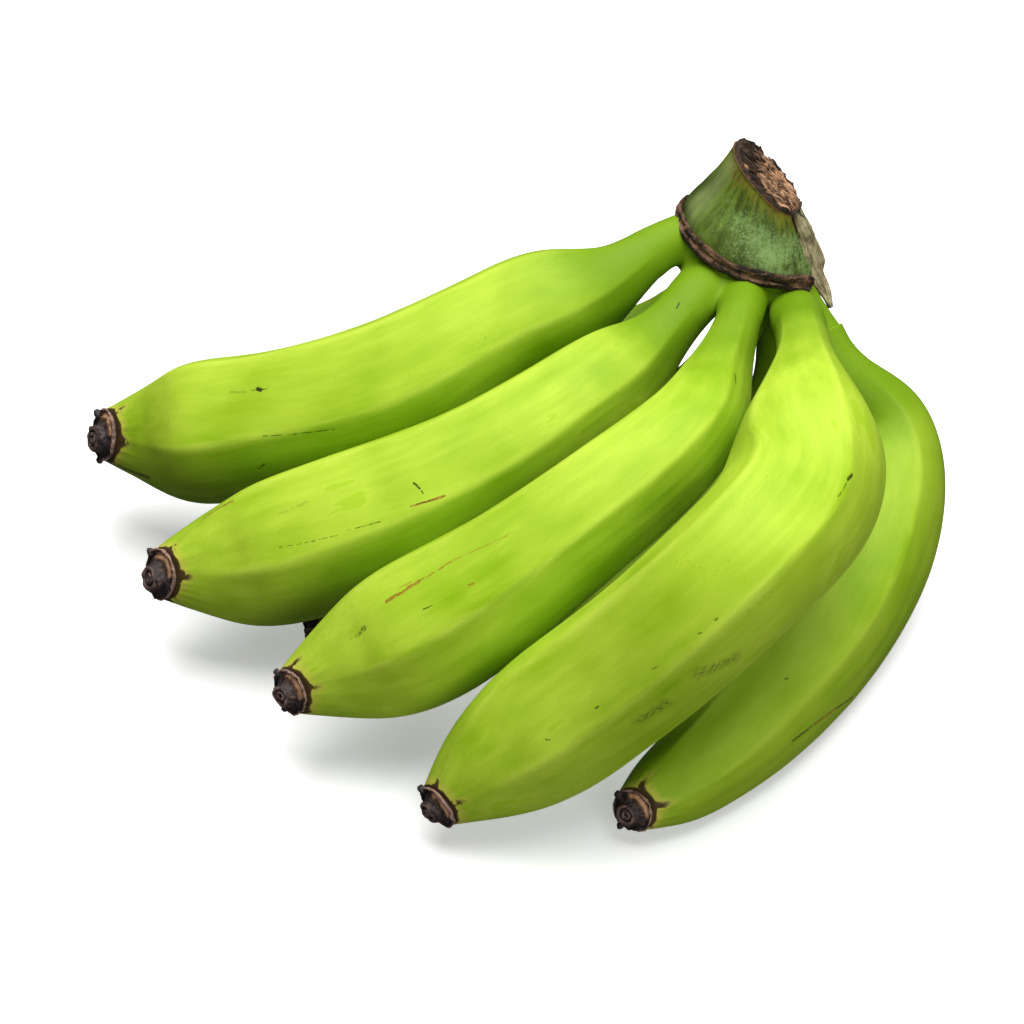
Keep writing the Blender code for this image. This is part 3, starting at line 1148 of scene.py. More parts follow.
@dataclass
class BlossomEnd:
    """The dried flower on a finger's tip: a thin curled rim, a shallow cup, a hollow nub, and black knobs."""

    finger: Finger
    # Radius and height, as shares of the tip's radius.
    outline: tuple[tuple[float, float], ...] = (
        (0.62, -0.40), (0.84, -0.22), (0.97, -0.06), (1.03, 0.03), (1.06, 0.10), (1.02, 0.15), (0.96, 0.12),
        (0.88, 0.07), (0.79, 0.10), (0.72, 0.17), (0.66, 0.18), (0.60, 0.22), (0.56, 0.34), (0.55, 0.46),
        (0.49, 0.55), (0.41, 0.58), (0.34, 0.54), (0.31, 0.47), (0.26, 0.50), (0.22, 0.58), (0.15, 0.60),
        (0.10, 0.55), (0.06, 0.45), (0.02, 0.42),
    )
    tip_share: float = 0.95  # its size, as a share of the tip's radius
    crumple: float = 0.085
    lumps: float = 0.07
    nub_starts: float = 0.66  # radius where the nub rises from the cup
    nub_leans: float = 0.16
    nub_twists: float = 0.10
    patch_side: Point = (0.80, 0.40, 0.46)
    nub_side: Point = (-0.80, -0.25, -0.40)
    knob_sides: tuple[Point, Point] = ((-0.76, 0.40, 0.50), (-0.70, -0.48, -0.56))
    around: int = 96
    stations: int = 130

    def build(self, finish: bpy.types.Material) -> None:
        """Turn the outline about the tip, crumple it, and add the knobs.

        Args:
            finish: Its material.
        """
        seed = 40 + self.finger.seed * 11
        size = self.finger.radii[-1] * self.tip_share
        tip, ahead = self.finger.end()
        back, _ = across(ahead, OUTWARD)
        lean = radians(self.finger.tip_leans)
        axis = ahead * cos(lean) + back * sin(lean)
        first, second = across(axis, np.array(self.patch_side))
        outline, _ = even_line(list(self.outline), self.stations)
        angles = full_turn(self.around)
        ring = side_by_side(np.cos(angles), np.sin(angles))
        wide, high = outline[:, :1], outline[:, 1:]
        flat = side_by_side(ring[:, 0] * (0.25 + wide), ring[:, 1] * (0.25 + wide), high * 1.6)
        shown = np.clip((high + 0.05) * 8.0, 0.0, 1.0)
        radius = wide * (1.0 + self.crumple * lattice_noise(flat, 0.34, seed, 3) * shown)
        lift = high + self.lumps * lattice_noise(flat, 0.45, seed + 9, 2) * shown
        # The nub is one-sided, and it twists as it rises.
        inner = (np.arange(self.stations) > self.stations // 3)[:, None]
        nub = smooth_rise((self.nub_starts - wide) / 0.12) * inner
        nub_way, _ = across(axis, np.array(self.nub_side))
        radius = radius * (1.0 + self.nub_twists * np.sin(angles[None] + 9.0 * high) * nub)
        x, y = radius * ring[:, 0], radius * ring[:, 1]
        points = x[..., None] * first + y[..., None] * second + lift[..., None] * axis
        points = points + (nub * self.nub_leans)[..., None] * nub_way
        base = tip + ahead * GAP
        mesh = lofted(f"blossom_{self.finger.name}", base + points * size)
        crest = bell(wide - 1.04, 0.035) + 0.45 * bell(high - 0.57, 0.03)
        cup = bell(wide - 0.80, 0.13) * (high > 0.02)
        patch = smooth_rise((np.cos(angles) - 0.35) / 0.4)
        add_vectors(mesh, "blossom_space", side_by_side(high, crest, cup * patch[None]))
        for piece in (new_object(mesh.name, mesh), self._knobs(base, axis, size)):
            dress(piece, finish, "dried_blossom", f"blossom_end_{self.finger.name}")

    def _knobs(self, base: np.ndarray, axis: np.ndarray, size: float) -> bpy.types.Object:
        """The withered black knobs on the rim, as one piece.

        Args:
            base: The middle of the rim.
            axis: The way that the blossom end faces.
            size: The tip's radius.

        Returns:
            The piece.
        """
        random = np.random.default_rng(70 + self.finger.seed)
        rows, columns = 11, 20
        turn = full_turn(columns)
        polar = np.linspace(0.1, pi - 0.1, rows)
        points: list[np.ndarray] = []
        faces: list[list[int]] = []
        for side in self.knob_sides[: 1 + self.finger.seed % 2]:
            out, _ = across(axis, np.array(side))
            centre = base + (out * random.uniform(0.98, 1.06) + axis * random.uniform(0.06, 0.2)) * size
            u, v = across(out, axis)
            ball = (
                np.sin(polar)[:, None, None] * (np.cos(turn)[:, None] * u + np.sin(turn)[:, None] * v)
                + np.cos(polar)[:, None, None] * out * 1.25
            ).reshape(-1, 3)
            wrinkles = 1.0 + 0.22 * lattice_noise(ball + centre * 3.0, 0.7, 5, 2)
            ball = ball * random.uniform(0.15, 0.18) * size * wrinkles[:, None]
            start, end = len(points), len(points) + (rows - 1) * columns
            points.extend(centre + ball)
            faces.extend([[start + face[i] for i in (1, 0, 3, 2)] for face in grid_faces(rows, columns)])
            faces.append([start + s for s in range(columns)])
            faces.append([end + s for s in range(columns)][::-1])
        mesh = mesh_of(f"knobs_{self.finger.name}", np.array(points), faces)
        add_vectors(mesh, "blossom_space", np.zeros((len(points), 3)))
        return new_object(mesh.name, mesh)


@dataclass
class Crown:
    """Where the fingers join: the cushion under the rim, the cut stub, its scar, and its torn back."""

    fingers: list[Finger]
    # Centre, facing and radius, from the foot to the cut.
    stub: tuple[tuple[Point, Point, float], ...] = (
        ((8.02, 7.30, 9.45), (0.38, 0.10, 1.0), 2.50), ((8.1, 7.3, 10.1), (0.42, 0.11, 1.0), 2.52),
        ((8.3, 7.4, 10.95), (0.52, 0.12, 1.0), 2.10), ((8.45, 7.42, 11.8), (0.78, 0.12, 1.0), 1.74),
        ((8.52, 7.42, 12.3), (0.97, 0.08, 1.0), 1.56),
    )
    pad_centre: Point = (7.98, 7.32, 9.15)
    pad_facing: Point = (0.36, 0.10, 1.0)
    pad_radius: float = 2.50
    pad_half: float = 0.80
    pad_round: float = 0.52
    pad_outline: tuple[tuple[float, float], ...] = (
        (-1.0, 0.75), (-0.8, 0.93), (0.0, 1.0), (0.8, 0.93), (1.0, 0.75),
    )
    blend: float = 0.21  # how softly the pad and the necks run together
    voxel: float = 0.085
    root_shrinks: float = 0.50  # how much thinner a neck is at its root inside the pad
    past_shrinks: float = 0.28  # how fast the cushion's neck dives under the finger's own skin
    neck_past: float = 0.8
    smoothings: int = 3
    # Degrees round the stub from +X by way of the front, then the scar's height there as a share of the stub's,
    # and its size.
    scar_heights: tuple[tuple[float, float, float], ...] = (
        (24, 0.12, 0.7), (38, 0.20, 0.95), (51, 0.24, 1.0), (69, 0.24, 1.0), (84, 0.22, 1.0),
        (97, 0.19, 0.98), (111, 0.16, 0.92), (123, 0.145, 0.85), (136, 0.16, 0.84), (147, 0.19, 0.82),
        (160, 0.215, 0.80), (172, 0.23, 0.70), (200, 0.20, 0.5), (232, 0.10, 0.4),
    )
    # Out from the stub and up it, round the scar's two lips.
    scar_section: tuple[tuple[float, float], ...] = (
        (-0.12, -0.30), (0.04, -0.36), (0.18, -0.30), (0.25, -0.18), (0.20, -0.06), (0.12, 0.00), (0.17, 0.08),
        (0.20, 0.18), (0.15, 0.27), (0.05, 0.27), (-0.02, 0.18), (-0.12, 0.08), (-0.2, -0.12),
    )
    # The torn back's height as a share of the stub's, and its left and right edges there in degrees.
    torn_edges: tuple[tuple[float, float, float], ...] = (
        (-0.62, -47.0, 10.0), (-0.3, -40.0, 60.0), (0.0, -32.0, 110.0),
        (0.25, -26.0, 132.0), (0.6, -22.0, 138.0), (1.05, -40.0, 130.0),
    )
    strip_route: tuple[Point, ...] = (
        (9.42, 6.3, 11.7), (9.6, 6.3, 11.35), (9.75, 6.3, 11.0), (9.86, 6.28, 10.65), (9.98, 6.2, 10.2),
        (10.14, 6.15, 9.65), (10.34, 6.0, 9.15), (10.56, 5.75, 8.8), (10.74, 5.4, 8.45),
    )
    strip_widths: tuple[float, ...] = (0.14, 0.24, 0.29, 0.31, 0.32, 0.30, 0.26, 0.19, 0.06)
    fibre_density: float = 130.0  # to the square centimetre of the cut
    fibre_length: float = 0.36
    fibre_radius: float = 0.022

    def _finish(
        self, name: str, rings: np.ndarray, space: str, values: np.ndarray, finish: bpy.types.Material,
    ) -> None:
        """Loft, map and dress one of the crown's pieces.

        Args:
            name: The piece's name.
            rings: Its rings.
            space: The name of the map that its finish reads.
            values: The map's values on the rings.
            finish: Its material.
        """
        mesh = lofted(name, rings)
        add_vectors(mesh, space, values)
        dress(new_object(name, mesh), finish, "crown", "crown")

    # -- cushion --

    def build_cushion(self, peel: GreenPeel) -> None:
        """The green cushion with the fingers' necks grown into it, as one smooth skin.

        Args:
            peel: The finish.
        """
        rough = self._rough_cushion()
        mesh = with_modifiers(rough)
        bpy.data.objects.remove(rough)
        points = all_of(mesh.vertices, "co", 3) / CM - SEAT
        edges = all_of(mesh.edges, "vertices", 2, int)
        for _ in range(self.smoothings):
            points = relaxed(self._settled(points), edges, 3)
        for _ in range(self.smoothings):
            points = self._settled(points)
        mesh.vertices.foreach_set("co", ((points + SEAT) * CM).ravel())
        mesh.update()
        face_outwards(mesh)
        mesh.shade_smooth()
        _, _, space = self._field(points)
        add_vectors(mesh, "finger_space", space)
        uv = mesh.uv_layers.new(name="skin")
        uv.data.foreach_set("uv", np.full(len(mesh.loops) * 2, 0.01, dtype=np.float32))
        mesh.name = "cushion"
        piece = new_object("cushion", mesh)
        dress(piece, peel.material("cushion_peel", 100.0, (), 2.2), "green_skin", "crown")

    def _rough_cushion(self) -> bpy.types.Object:
        """The pad and the necks as one coarse voxel solid.

        Returns:
            The solid, with its modifier live.
        """
        axis = unit(np.array(self.pad_facing))
        u, v = across(axis, RIGHT)
        angles = full_turn(64)
        circle = np.cos(angles)[:, None] * u + np.sin(angles)[:, None] * v
        centre = np.array(self.pad_centre)
        tubes = [np.array([
            centre + axis * height * self.pad_half + circle * radius * self.pad_radius
            for height, radius in self.pad_outline
        ])]
        for finger in self.fingers:
            line, radii = self._neck(finger)
            keep = slice(0, None, 8)
            tangents = unit(np.gradient(line, axis=0))[keep]
            first, second = across(tangents, OUTWARD)
            cosine, sine = np.cos(angles)[None, :, None], np.sin(angles)[None, :, None]
            turned = cosine * first[:, None] + sine * second[:, None]
            tubes.append(line[keep][:, None] + radii[keep][:, None, None] * turned)
        points: list[Vector] = []
        faces: list[list[int]] = []
        for rings in tubes:
            mesh = lofted("part", rings)
            offset = len(points)
            points.extend(v.co / CM - Vector(SEAT) for v in mesh.vertices)
            faces.extend([offset + i for i in face.vertices] for face in mesh.polygons)
            bpy.data.meshes.remove(mesh)
        mesh = mesh_of("rough_cushion", np.array([list(p) for p in points]), faces)
        piece = new_object("rough_cushion", mesh)
        remesh = piece.modifiers.new("joined", "REMESH")
        remesh.mode = "VOXEL"
        remesh.voxel_size = self.voxel * CM
        return piece

    def _neck(self, finger: Finger) -> tuple[np.ndarray, np.ndarray]:
        """A neck's line inside and just past the cushion, and its radius there.

        Args:
            finger: The finger.

        Returns:
            The line's points and their radii.
        """
        step = finger.length / (LINE_SAMPLES - 1)
        count = round((finger.leaves + HANDOVER + self.neck_past) / step)
        along = np.arange(count) * step - finger.leaves
        radius = finger.radius_at(along / finger.skin_length)
        root = np.clip(-along / finger.leaves, 0.0, 1.0)
        past = np.clip(along - HANDOVER, 0.0, None)
        radius = radius * (1.0 - self.root_shrinks * root ** 1.5) - self.past_shrinks * past ** 2
        return finger.line[:count], radius

    def _field(self, points: np.ndarray) -> tuple[np.ndarray, np.ndarray, np.ndarray]:
        """The cushion's smooth distance.

        Args:
            points: Where it is wanted.

        Returns:
            The distance, its direction, and each point's place along and across the nearest finger.
        """
        total = np.zeros(len(points))
        slope = np.zeros_like(points)
        nearest = np.full(len(points), 1e9)
        space = np.zeros_like(points)
        for finger in self.fingers:
            line, radii = self._neck(finger)
            tangents = finger.tangents()[: len(line)]
            first, second = across(tangents, OUTWARD)
            square = (points ** 2).sum(1)[:, None] - 2.0 * points @ line.T + (line ** 2).sum(1)[None]
            distance = np.sqrt(np.maximum(square, 1e-12)) - radii[None]
            index = distance.argmin(1)
            off = points - line[index]
            here = distance[np.arange(len(points)), index]
            weight = np.exp(-here / self.blend)
            total += weight
            slope += weight[:, None] * unit(off)
            closer = here < nearest
            nearest[closer] = here[closer]
            along = index * finger.length / (LINE_SAMPLES - 1) - finger.leaves
            local = np.stack([along, (off * first[index]).sum(1), (off * second[index]).sum(1)], axis=-1)
            space[closer] = local[closer]
        axis = unit(np.array(self.pad_facing))
        off = points - np.array(self.pad_centre)
        height = off @ axis
        radial = off - height[:, None] * axis
        reach = np.linalg.norm(radial, axis=1)
        over_r = reach - (self.pad_radius - self.pad_round)
        over_h = np.abs(height) - (self.pad_half - self.pad_round)
        outside = np.sqrt(np.maximum(over_r, 0.0) ** 2 + np.maximum(over_h, 0.0) ** 2)
        here = outside + np.minimum(np.maximum(over_r, over_h), 0.0) - self.pad_round
        way = unit(
            np.maximum(over_r, 1e-4)[:, None] * unit(radial)
            + (np.maximum(over_h, 0.0) * np.sign(height))[:, None] * axis
        )
        weight = np.exp(-here / self.blend)
        total += weight
        slope += weight[:, None] * way
        return -self.blend * np.log(total), slope / total[:, None], space

    def _settled(self, points: np.ndarray) -> np.ndarray:
        """Points moved towards the cushion's skin.

        Args:
            points: The points.

        Returns:
            The points, at most 1.5 mm from where they were for a slope of 1.
        """
        distance, slope, _ = self._field(points)
        square = np.maximum((slope ** 2).sum(1), 0.3)
        step = np.clip(distance, -0.15, 0.15) / square
        return points - step[:, None] * slope

    # -- stub --

    def ring_at(self, shares: np.ndarray) -> tuple[np.ndarray, np.ndarray, np.ndarray]:
        """The stub's rings at some heights.

        Args:
            shares: The heights, as shares from the foot to the cut.

        Returns:
            Their centres, facings and radii.
        """
        table = [(*centre, *(3.0 * unit(np.array(facing))), radius) for centre, facing, radius in self.stub]
        rows = np.array(table)
        smooth, _ = even_line(table, STUB_SAMPLES)
        knots = np.concatenate([[0.0], np.cumsum(np.linalg.norm(np.diff(rows, axis=0), axis=1))])
        at = np.linspace(0.0, 1.0, len(rows))
        place = np.interp(shares, at, knots) / knots[-1] * (STUB_SAMPLES - 1)
        eased = np.stack([np.interp(place, np.arange(STUB_SAMPLES), column) for column in smooth.T], axis=-1)
        return eased[:, :3], unit(eased[:, 3:6]), eased[:, 6]

    def around_stub(self, shares: np.ndarray, azimuths: np.ndarray, proud: np.ndarray) -> np.ndarray:
        """Points round the stub.

        Args:
            shares: Heights, as shares from the foot to the cut, one to a row.
            azimuths: Angles from +X towards +Y, by rows and columns.
            proud: How far each point stands proud of the stub.

        Returns:
            The points, by rows and columns.
        """
        centre, facing, radius = self.ring_at(shares)
        first, second = across(facing, RIGHT)
        reach = radius[:, None] + proud
        return (
            centre[:, None]
            + (reach * np.cos(azimuths))[..., None] * first[:, None]
            + (reach * np.sin(azimuths))[..., None] * second[:, None]
        )

    def build_stub(self, finish: bpy.types.Material) -> None:
        """The cut stub's skin, from under the scar to the cut.

        Args:
            finish: Its material.
        """
        rows, columns = 120, 200
        shares = np.linspace(0.0, 1.0, rows)
        azimuths = full_turn(columns)[None]
        flat = side_by_side(np.cos(azimuths) * 2.2, np.sin(azimuths) * 2.2, shares[:, None])
        waves = lattice_noise(flat * [1, 1, 2.5], 0.9, 3, 2)
        pores = lattice_noise(flat * [1, 1, 1.2], 0.22, 4, 2)
        proud = 0.05 * waves + 0.02 * pores + 0.05 * bell(shares - 1.0, 0.03)[:, None]
        points = self.around_stub(shares, azimuths, proud)
        space = side_by_side(shares[:, None], np.cos(azimuths), np.sin(azimuths))
        self._finish("stub", points, "crown_space", space, finish)

    def build_scar(self, finish: bpy.types.Material) -> None:
        """The brown scar that rings the stub's foot: a curled double lip, open at the torn back.

        Args:
            finish: Its material.
        """
        rows, columns = 420, 48
        girth = 2.6
        sweep = np.linspace(radians(-24.0), radians(-232.0), rows)
        loop, _ = even_line([*self.scar_section, self.scar_section[0]], columns + 1)
        out_by, up_by = loop[:-1].T[:, None]
        ends = smooth_rise(np.minimum(np.arange(rows), np.arange(rows)[::-1]) / 40.0)
        place = np.stack([np.cos(sweep) * girth, np.sin(sweep) * girth, np.zeros(rows)], axis=-1)
        turns, heights, sizes = np.array(self.scar_heights).T
        thick = np.interp(-np.degrees(sweep), turns, sizes) + 0.14 * lattice_noise(place, 0.8, 21, 2)
        thick = (thick * (0.2 + 0.8 * ends))[:, None]
        shares = np.interp(-np.degrees(sweep), turns, heights) + 0.01 * lattice_noise(place, 0.9, 22, 2)
        shares = np.convolve(np.pad(shares, 20, mode="edge"), np.ones(41) / 41.0, mode="valid")
        centre, facing, radius = self.ring_at(shares)
        first, second = across(facing, RIGHT)
        out = (np.cos(sweep)[:, None] * first + np.sin(sweep)[:, None] * second)[:, None]
        reach = radius[:, None] + self.scar_proud(sweep) + out_by * thick
        points = centre[:, None] + reach[..., None] * out + (up_by * thick)[..., None] * facing[:, None]
        bumps = lattice_noise(points * [1.0, 1.0, 1.6], 0.16, 23, 3)
        points = points + (0.05 * bumps * thick)[..., None] * out
        # The lower lip's higher charred value is painted shade on the scar's underside, which leaves the upper
        # lip lighter.
        space = side_by_side((sweep * girth)[:, None], up_by + out_by, np.where(up_by < -0.1, 0.62, 0.12))
        self._finish("scar", points, "fibre_space", space, finish)

    def scar_proud(self, sweep: np.ndarray) -> np.ndarray:
        """How far the scar's middle stands off the stub: more on the left, over the first neck."""
        return (0.02 + 0.07 * smooth_rise((-np.degrees(sweep) - 125.0) / 25.0))[:, None]

    def build_torn_back(self, finish: bpy.types.Material) -> None:
        """The dry torn face behind, where the hand was pulled from its stalk, with a ragged front edge.

        Args:
            finish: Its material.
        """
        rows, columns = 170, 220
        stations, lefts, rights = np.array(self.torn_edges).T
        top, foot = 1.02, stations[0]
        down = np.linspace(top, foot, rows)
        fray = lattice_noise(np.stack([down * 6.0, down * 0.0, down * 0.0], -1), 1.0, 31, 3)
        left = np.interp(down, stations, np.radians(lefts)) + 0.05 * fray
        right = np.interp(down, stations, np.radians(rights))
        share = np.linspace(0.0, 1.0, columns)
        azimuth = left[:, None] + (right - left)[:, None] * share[None]
        centre, facing, radius = self.ring_at(np.clip(down, 0.0, 1.0))
        low = np.clip(-down, 0.0, None)
        centre = centre - facing * (low * 2.6)[:, None]
        radius = radius - 0.04 - 0.5 * low ** 2
        edge = np.minimum(share * 9.0, (1.0 - share) * 9.0)[None]
        ends = smooth_rise(np.minimum((top - down) * 8.0, (down - foot) * 5.0))[:, None]
        cover = smooth_rise(np.minimum(edge, 1.0)) * ends
        fibres = side_by_side(azimuth * 2.5, down[:, None] * 0.35, azimuth * 0.0)
        fine, coarse = lattice_noise(fibres, 0.10, 32, 2), lattice_noise(fibres * [1, 2, 1], 0.5, 33, 2)
        relief = 0.10 * fine + 0.09 * coarse
        outer = radius[:, None] + (0.10 + relief) * cover + 0.02
        inner = np.broadcast_to((radius - 0.25)[:, None], outer.shape)
        first, second = across(facing, RIGHT)
        out = np.cos(azimuth)[..., None] * first[:, None] + np.sin(azimuth)[..., None] * second[:, None]
        front, back = (centre[:, None] + reach[..., None] * out for reach in (outer, inner))
        charred = np.clip(1.0 - edge * 1.6, 0.0, 1.0) * 0.75 + 0.35 * bell(top - down, 0.1)[:, None]
        space = side_by_side(down[:, None] * 3.2, azimuth * 2.5, charred)
        rings, values = (np.concatenate([a, b[:, ::-1]], axis=1) for a, b in ((front, back), (space, space)))
        self._finish("torn_back", rings, "fibre_space", values, finish)

    def build_cut(self, finish: bpy.types.Material) -> None:
        """The cut face: dry, cracked and lumpy, with a ragged charred edge, and loose fibres on it.

        Args:
            finish: Its material.
        """
        rows, columns = 150, 260
        centre, facing, radius = (values[-1] for values in self.ring_at(np.array([1.0, 1.0])))
        first, second = across(facing, RIGHT)
        angles = full_turn(columns)
        circle = np.stack([np.cos(angles), np.sin(angles), angles * 0.0], axis=-1)
        out = circle[:, :1] * first + circle[:, 1:2] * second
        # The far side's edge is crumbled, and the near side's is a clean cut.
        crumbled = 0.02 + 0.07 * smooth_rise(np.sin(angles) + 0.2)
        edge = radius * (1.0 + crumbled * lattice_noise(circle * 2.0, 0.42, 51, 3))
        reach = np.sin(np.linspace(0.01, 0.5, rows) * pi)[:, None]
        flat = reach[..., None] * edge[None, :, None] * circle[None]
        strands = lattice_noise(flat * [0.8, 4.0, 1.0], 0.5, 52, 4)
        lumps = lattice_noise(flat, 0.6, 53, 3)
        splits = bell(lattice_noise(flat * [0.6, 1.6, 1.0], 0.75, 57, 2), 0.09)
        pits = smooth_rise((lattice_noise(flat, 0.22, 58, 2) - 0.28) / 0.3)
        pits = pits * smooth_rise(0.3 - flat[..., 0] * 0.7)
        lip = 0.10 * bell(reach - 0.96, 0.03) * (1.0 + 0.8 * lattice_noise(circle * 3.0, 0.4, 59, 2))
        off = flat - radius * np.array([-0.86, 0.28, 0.0])
        knob = 0.34 * np.exp(-(off ** 2).sum(-1) / 0.09)
        inner = 1.0 - reach ** 12
        height = (0.07 * strands + 0.12 * lumps - 0.15 * splits - 0.16 * pits) * inner + lip + knob
        height = height + 0.05 - 0.10 * (reach > 0.998)
        top = centre + flat[..., :1] * first + flat[..., 1:2] * second + height[..., None] * facing
        skirt = np.array([0.86, 0.72])
        under = centre + (skirt[:, None, None] * edge[None, :, None]) * out[None] - facing * 0.2
        charred = (
            0.06 + smooth_rise((reach - 0.84) / 0.1) + 0.6 * splits + 0.8 * pits + 1.2 * knob
            + 0.80 * smooth_rise(-flat[..., 0] * 0.9 + 0.1) * smooth_rise(lumps * 1.5 + 0.7)
        )
        grainy = side_by_side(flat[..., 0] * 1.2, flat[..., 1] * 1.5, charred)
        self._finish("cut_face", np.concatenate([top, under], axis=0), "fibre_space", grainy, finish)
        inside = int(rows * 0.66)
        bed = mesh_of("cut_bed", top[:inside].reshape(-1, 3), grid_faces(inside, columns))
        add_vectors(bed, "fibre_space", grainy[:inside])
        piece = new_object("cut_fibres", bed)
        grown(piece, fibre_tree(), {
            "Density": self.fibre_density / CM ** 2, "Length": self.fibre_length * CM,
            "Thickness": self.fibre_radius * CM, "Along": tuple(float(v) for v in first),
            "Seed": FIBRE_SEED, "Finish": finish,
        })
        dress(piece, finish, "crown", "crown")

    def build_strip(self, finish: bpy.types.Material) -> None:
        """The torn strip that runs from the cut down between the last two necks, with frayed edges.

        Args:
            finish: Its material.
        """
        rows, columns = 220, 44
        route = [(*point, width) for point, width in zip(self.strip_route, self.strip_widths)]
        line, length = even_line(route, rows)
        centre, half = line[:, :3], line[:, 3]
        tangents = unit(np.gradient(centre, axis=0))
        lift, wide = across(tangents, OUTWARD + RIGHT * 0.5)
        angles = full_turn(columns)
        cosine, sine = np.cos(angles)[None], np.sin(angles)[None]
        along = np.linspace(0.0, length, rows)[:, None]
        grid = side_by_side(along * 0.45, cosine * 1.6, sine)
        ribs = lattice_noise(grid, 0.32, 71, 3)
        frayed = 1.0 + 0.16 * lattice_noise(grid * [5.0, 0.4, 0.4], 0.5, 72, 3)
        x = half[:, None] * cosine * frayed
        y = np.maximum(half, 0.12)[:, None] * sine * 0.55 + 0.06 * ribs
        points = centre[:, None] + x[..., None] * wide[:, None] + y[..., None] * lift[:, None]
        burnt = 0.55 * smooth_rise(1.0 - along / 0.9) + 0.5 * smooth_rise((along - length + 0.5) / 0.5)
        charred = burnt + 0.42 * np.abs(cosine) ** 4
        space = side_by_side(along, cosine * 0.35, charred)
        self._finish("torn_strip", points, "fibre_space", space, finish)


def fibre_tree() -> Tree:
    """The Geometry Nodes tree that scatters short curved fibres over a surface.

    Returns:
        The tree. Its lengths are metres.
    """
    sockets = {
        "Bed": "NodeSocketGeometry", "Density": "NodeSocketFloat", "Length": "NodeSocketFloat",
        "Thickness": "NodeSocketFloat", "Along": "NodeSocketVector", "Seed": "NodeSocketInt",
        "Finish": "NodeSocketMaterial",
    }
    tree = Tree.geometry("dry_fibres", sockets)
    given = {name: tree.given(name) for name in sockets}
    inputs = {"Mesh": given["Bed"], "Density": given["Density"], "Seed": given["Seed"]}
    scatter = tree.node("GeometryNodeDistributePointsOnFaces", {}, inputs)
    ends = {"Start": (-0.5, 0.0, 0.0), "End": (0.5, 0.0, 0.0)}
    line = tree.node("GeometryNodeCurvePrimitiveLine", {}, ends)
    fine = tree.node("GeometryNodeResampleCurve", {}, {"Curve": line.outputs[0], "Count": 6})
    x, _, _ = tree.arrow("GeometryNodeInputPosition", {}, {}).parts()
    bowed = tree.vector(x, 0.0, x * x * -0.5 + 0.08)
    bent = tree.node("GeometryNodeSetPosition", {}, {"Geometry": fine.outputs[0], "Position": bowed})
    ring = tree.node("GeometryNodeCurvePrimitiveCircle", {}, {"Resolution": 5, "Radius": 1.0})
    slim = tree.node("GeometryNodeTransform", {}, {"Geometry": ring.outputs[0]})
    thin = given["Thickness"] / given["Length"]
    tree.tree.links.new(tree.vector(thin, thin, thin).socket, slim.inputs["Scale"])
    strand = tree.node(
        "GeometryNodeCurveToMesh", {},
        {"Curve": bent.outputs[0], "Profile Curve": slim.outputs[0], "Fill Caps": True},
    )
    lying = tree.node(
        "FunctionNodeAlignRotationToVector", {"axis": "X"}, {"Vector": given["Along"]}
    )
    wander = tree.node(
        "FunctionNodeRandomValue", {"data_type": "FLOAT_VECTOR"},
        {"Min": (-0.5, -0.28, -0.5), "Max": (0.5, 0.28, 0.5), "Seed": given["Seed"]},
    )
    turned = tree.node("FunctionNodeEulerToRotation", {}, {"Euler": wander.outputs[0]})
    aimed = tree.node(
        "FunctionNodeRotateRotation", {"rotation_space": "LOCAL"},
        {"Rotation": lying.outputs[0], "Rotate By": turned.outputs[0]},
    )
    size = tree.node(
        "FunctionNodeRandomValue", {"data_type": "FLOAT"}, {2: 0.35, 3: 1.2, "Seed": given["Seed"]}
    )
    length = given["Length"] * Number(tree, size.outputs[1])
    placed = tree.node(
        "GeometryNodeInstanceOnPoints", {},
        {"Points": scatter.outputs["Points"], "Instance": strand.outputs[0], "Rotation": aimed.outputs[0]},
    )
    tree.tree.links.new(tree.vector(length, length, length).socket, placed.inputs["Scale"])
    tree.finish_geometry(placed.outputs[0], given["Finish"])
    return tree


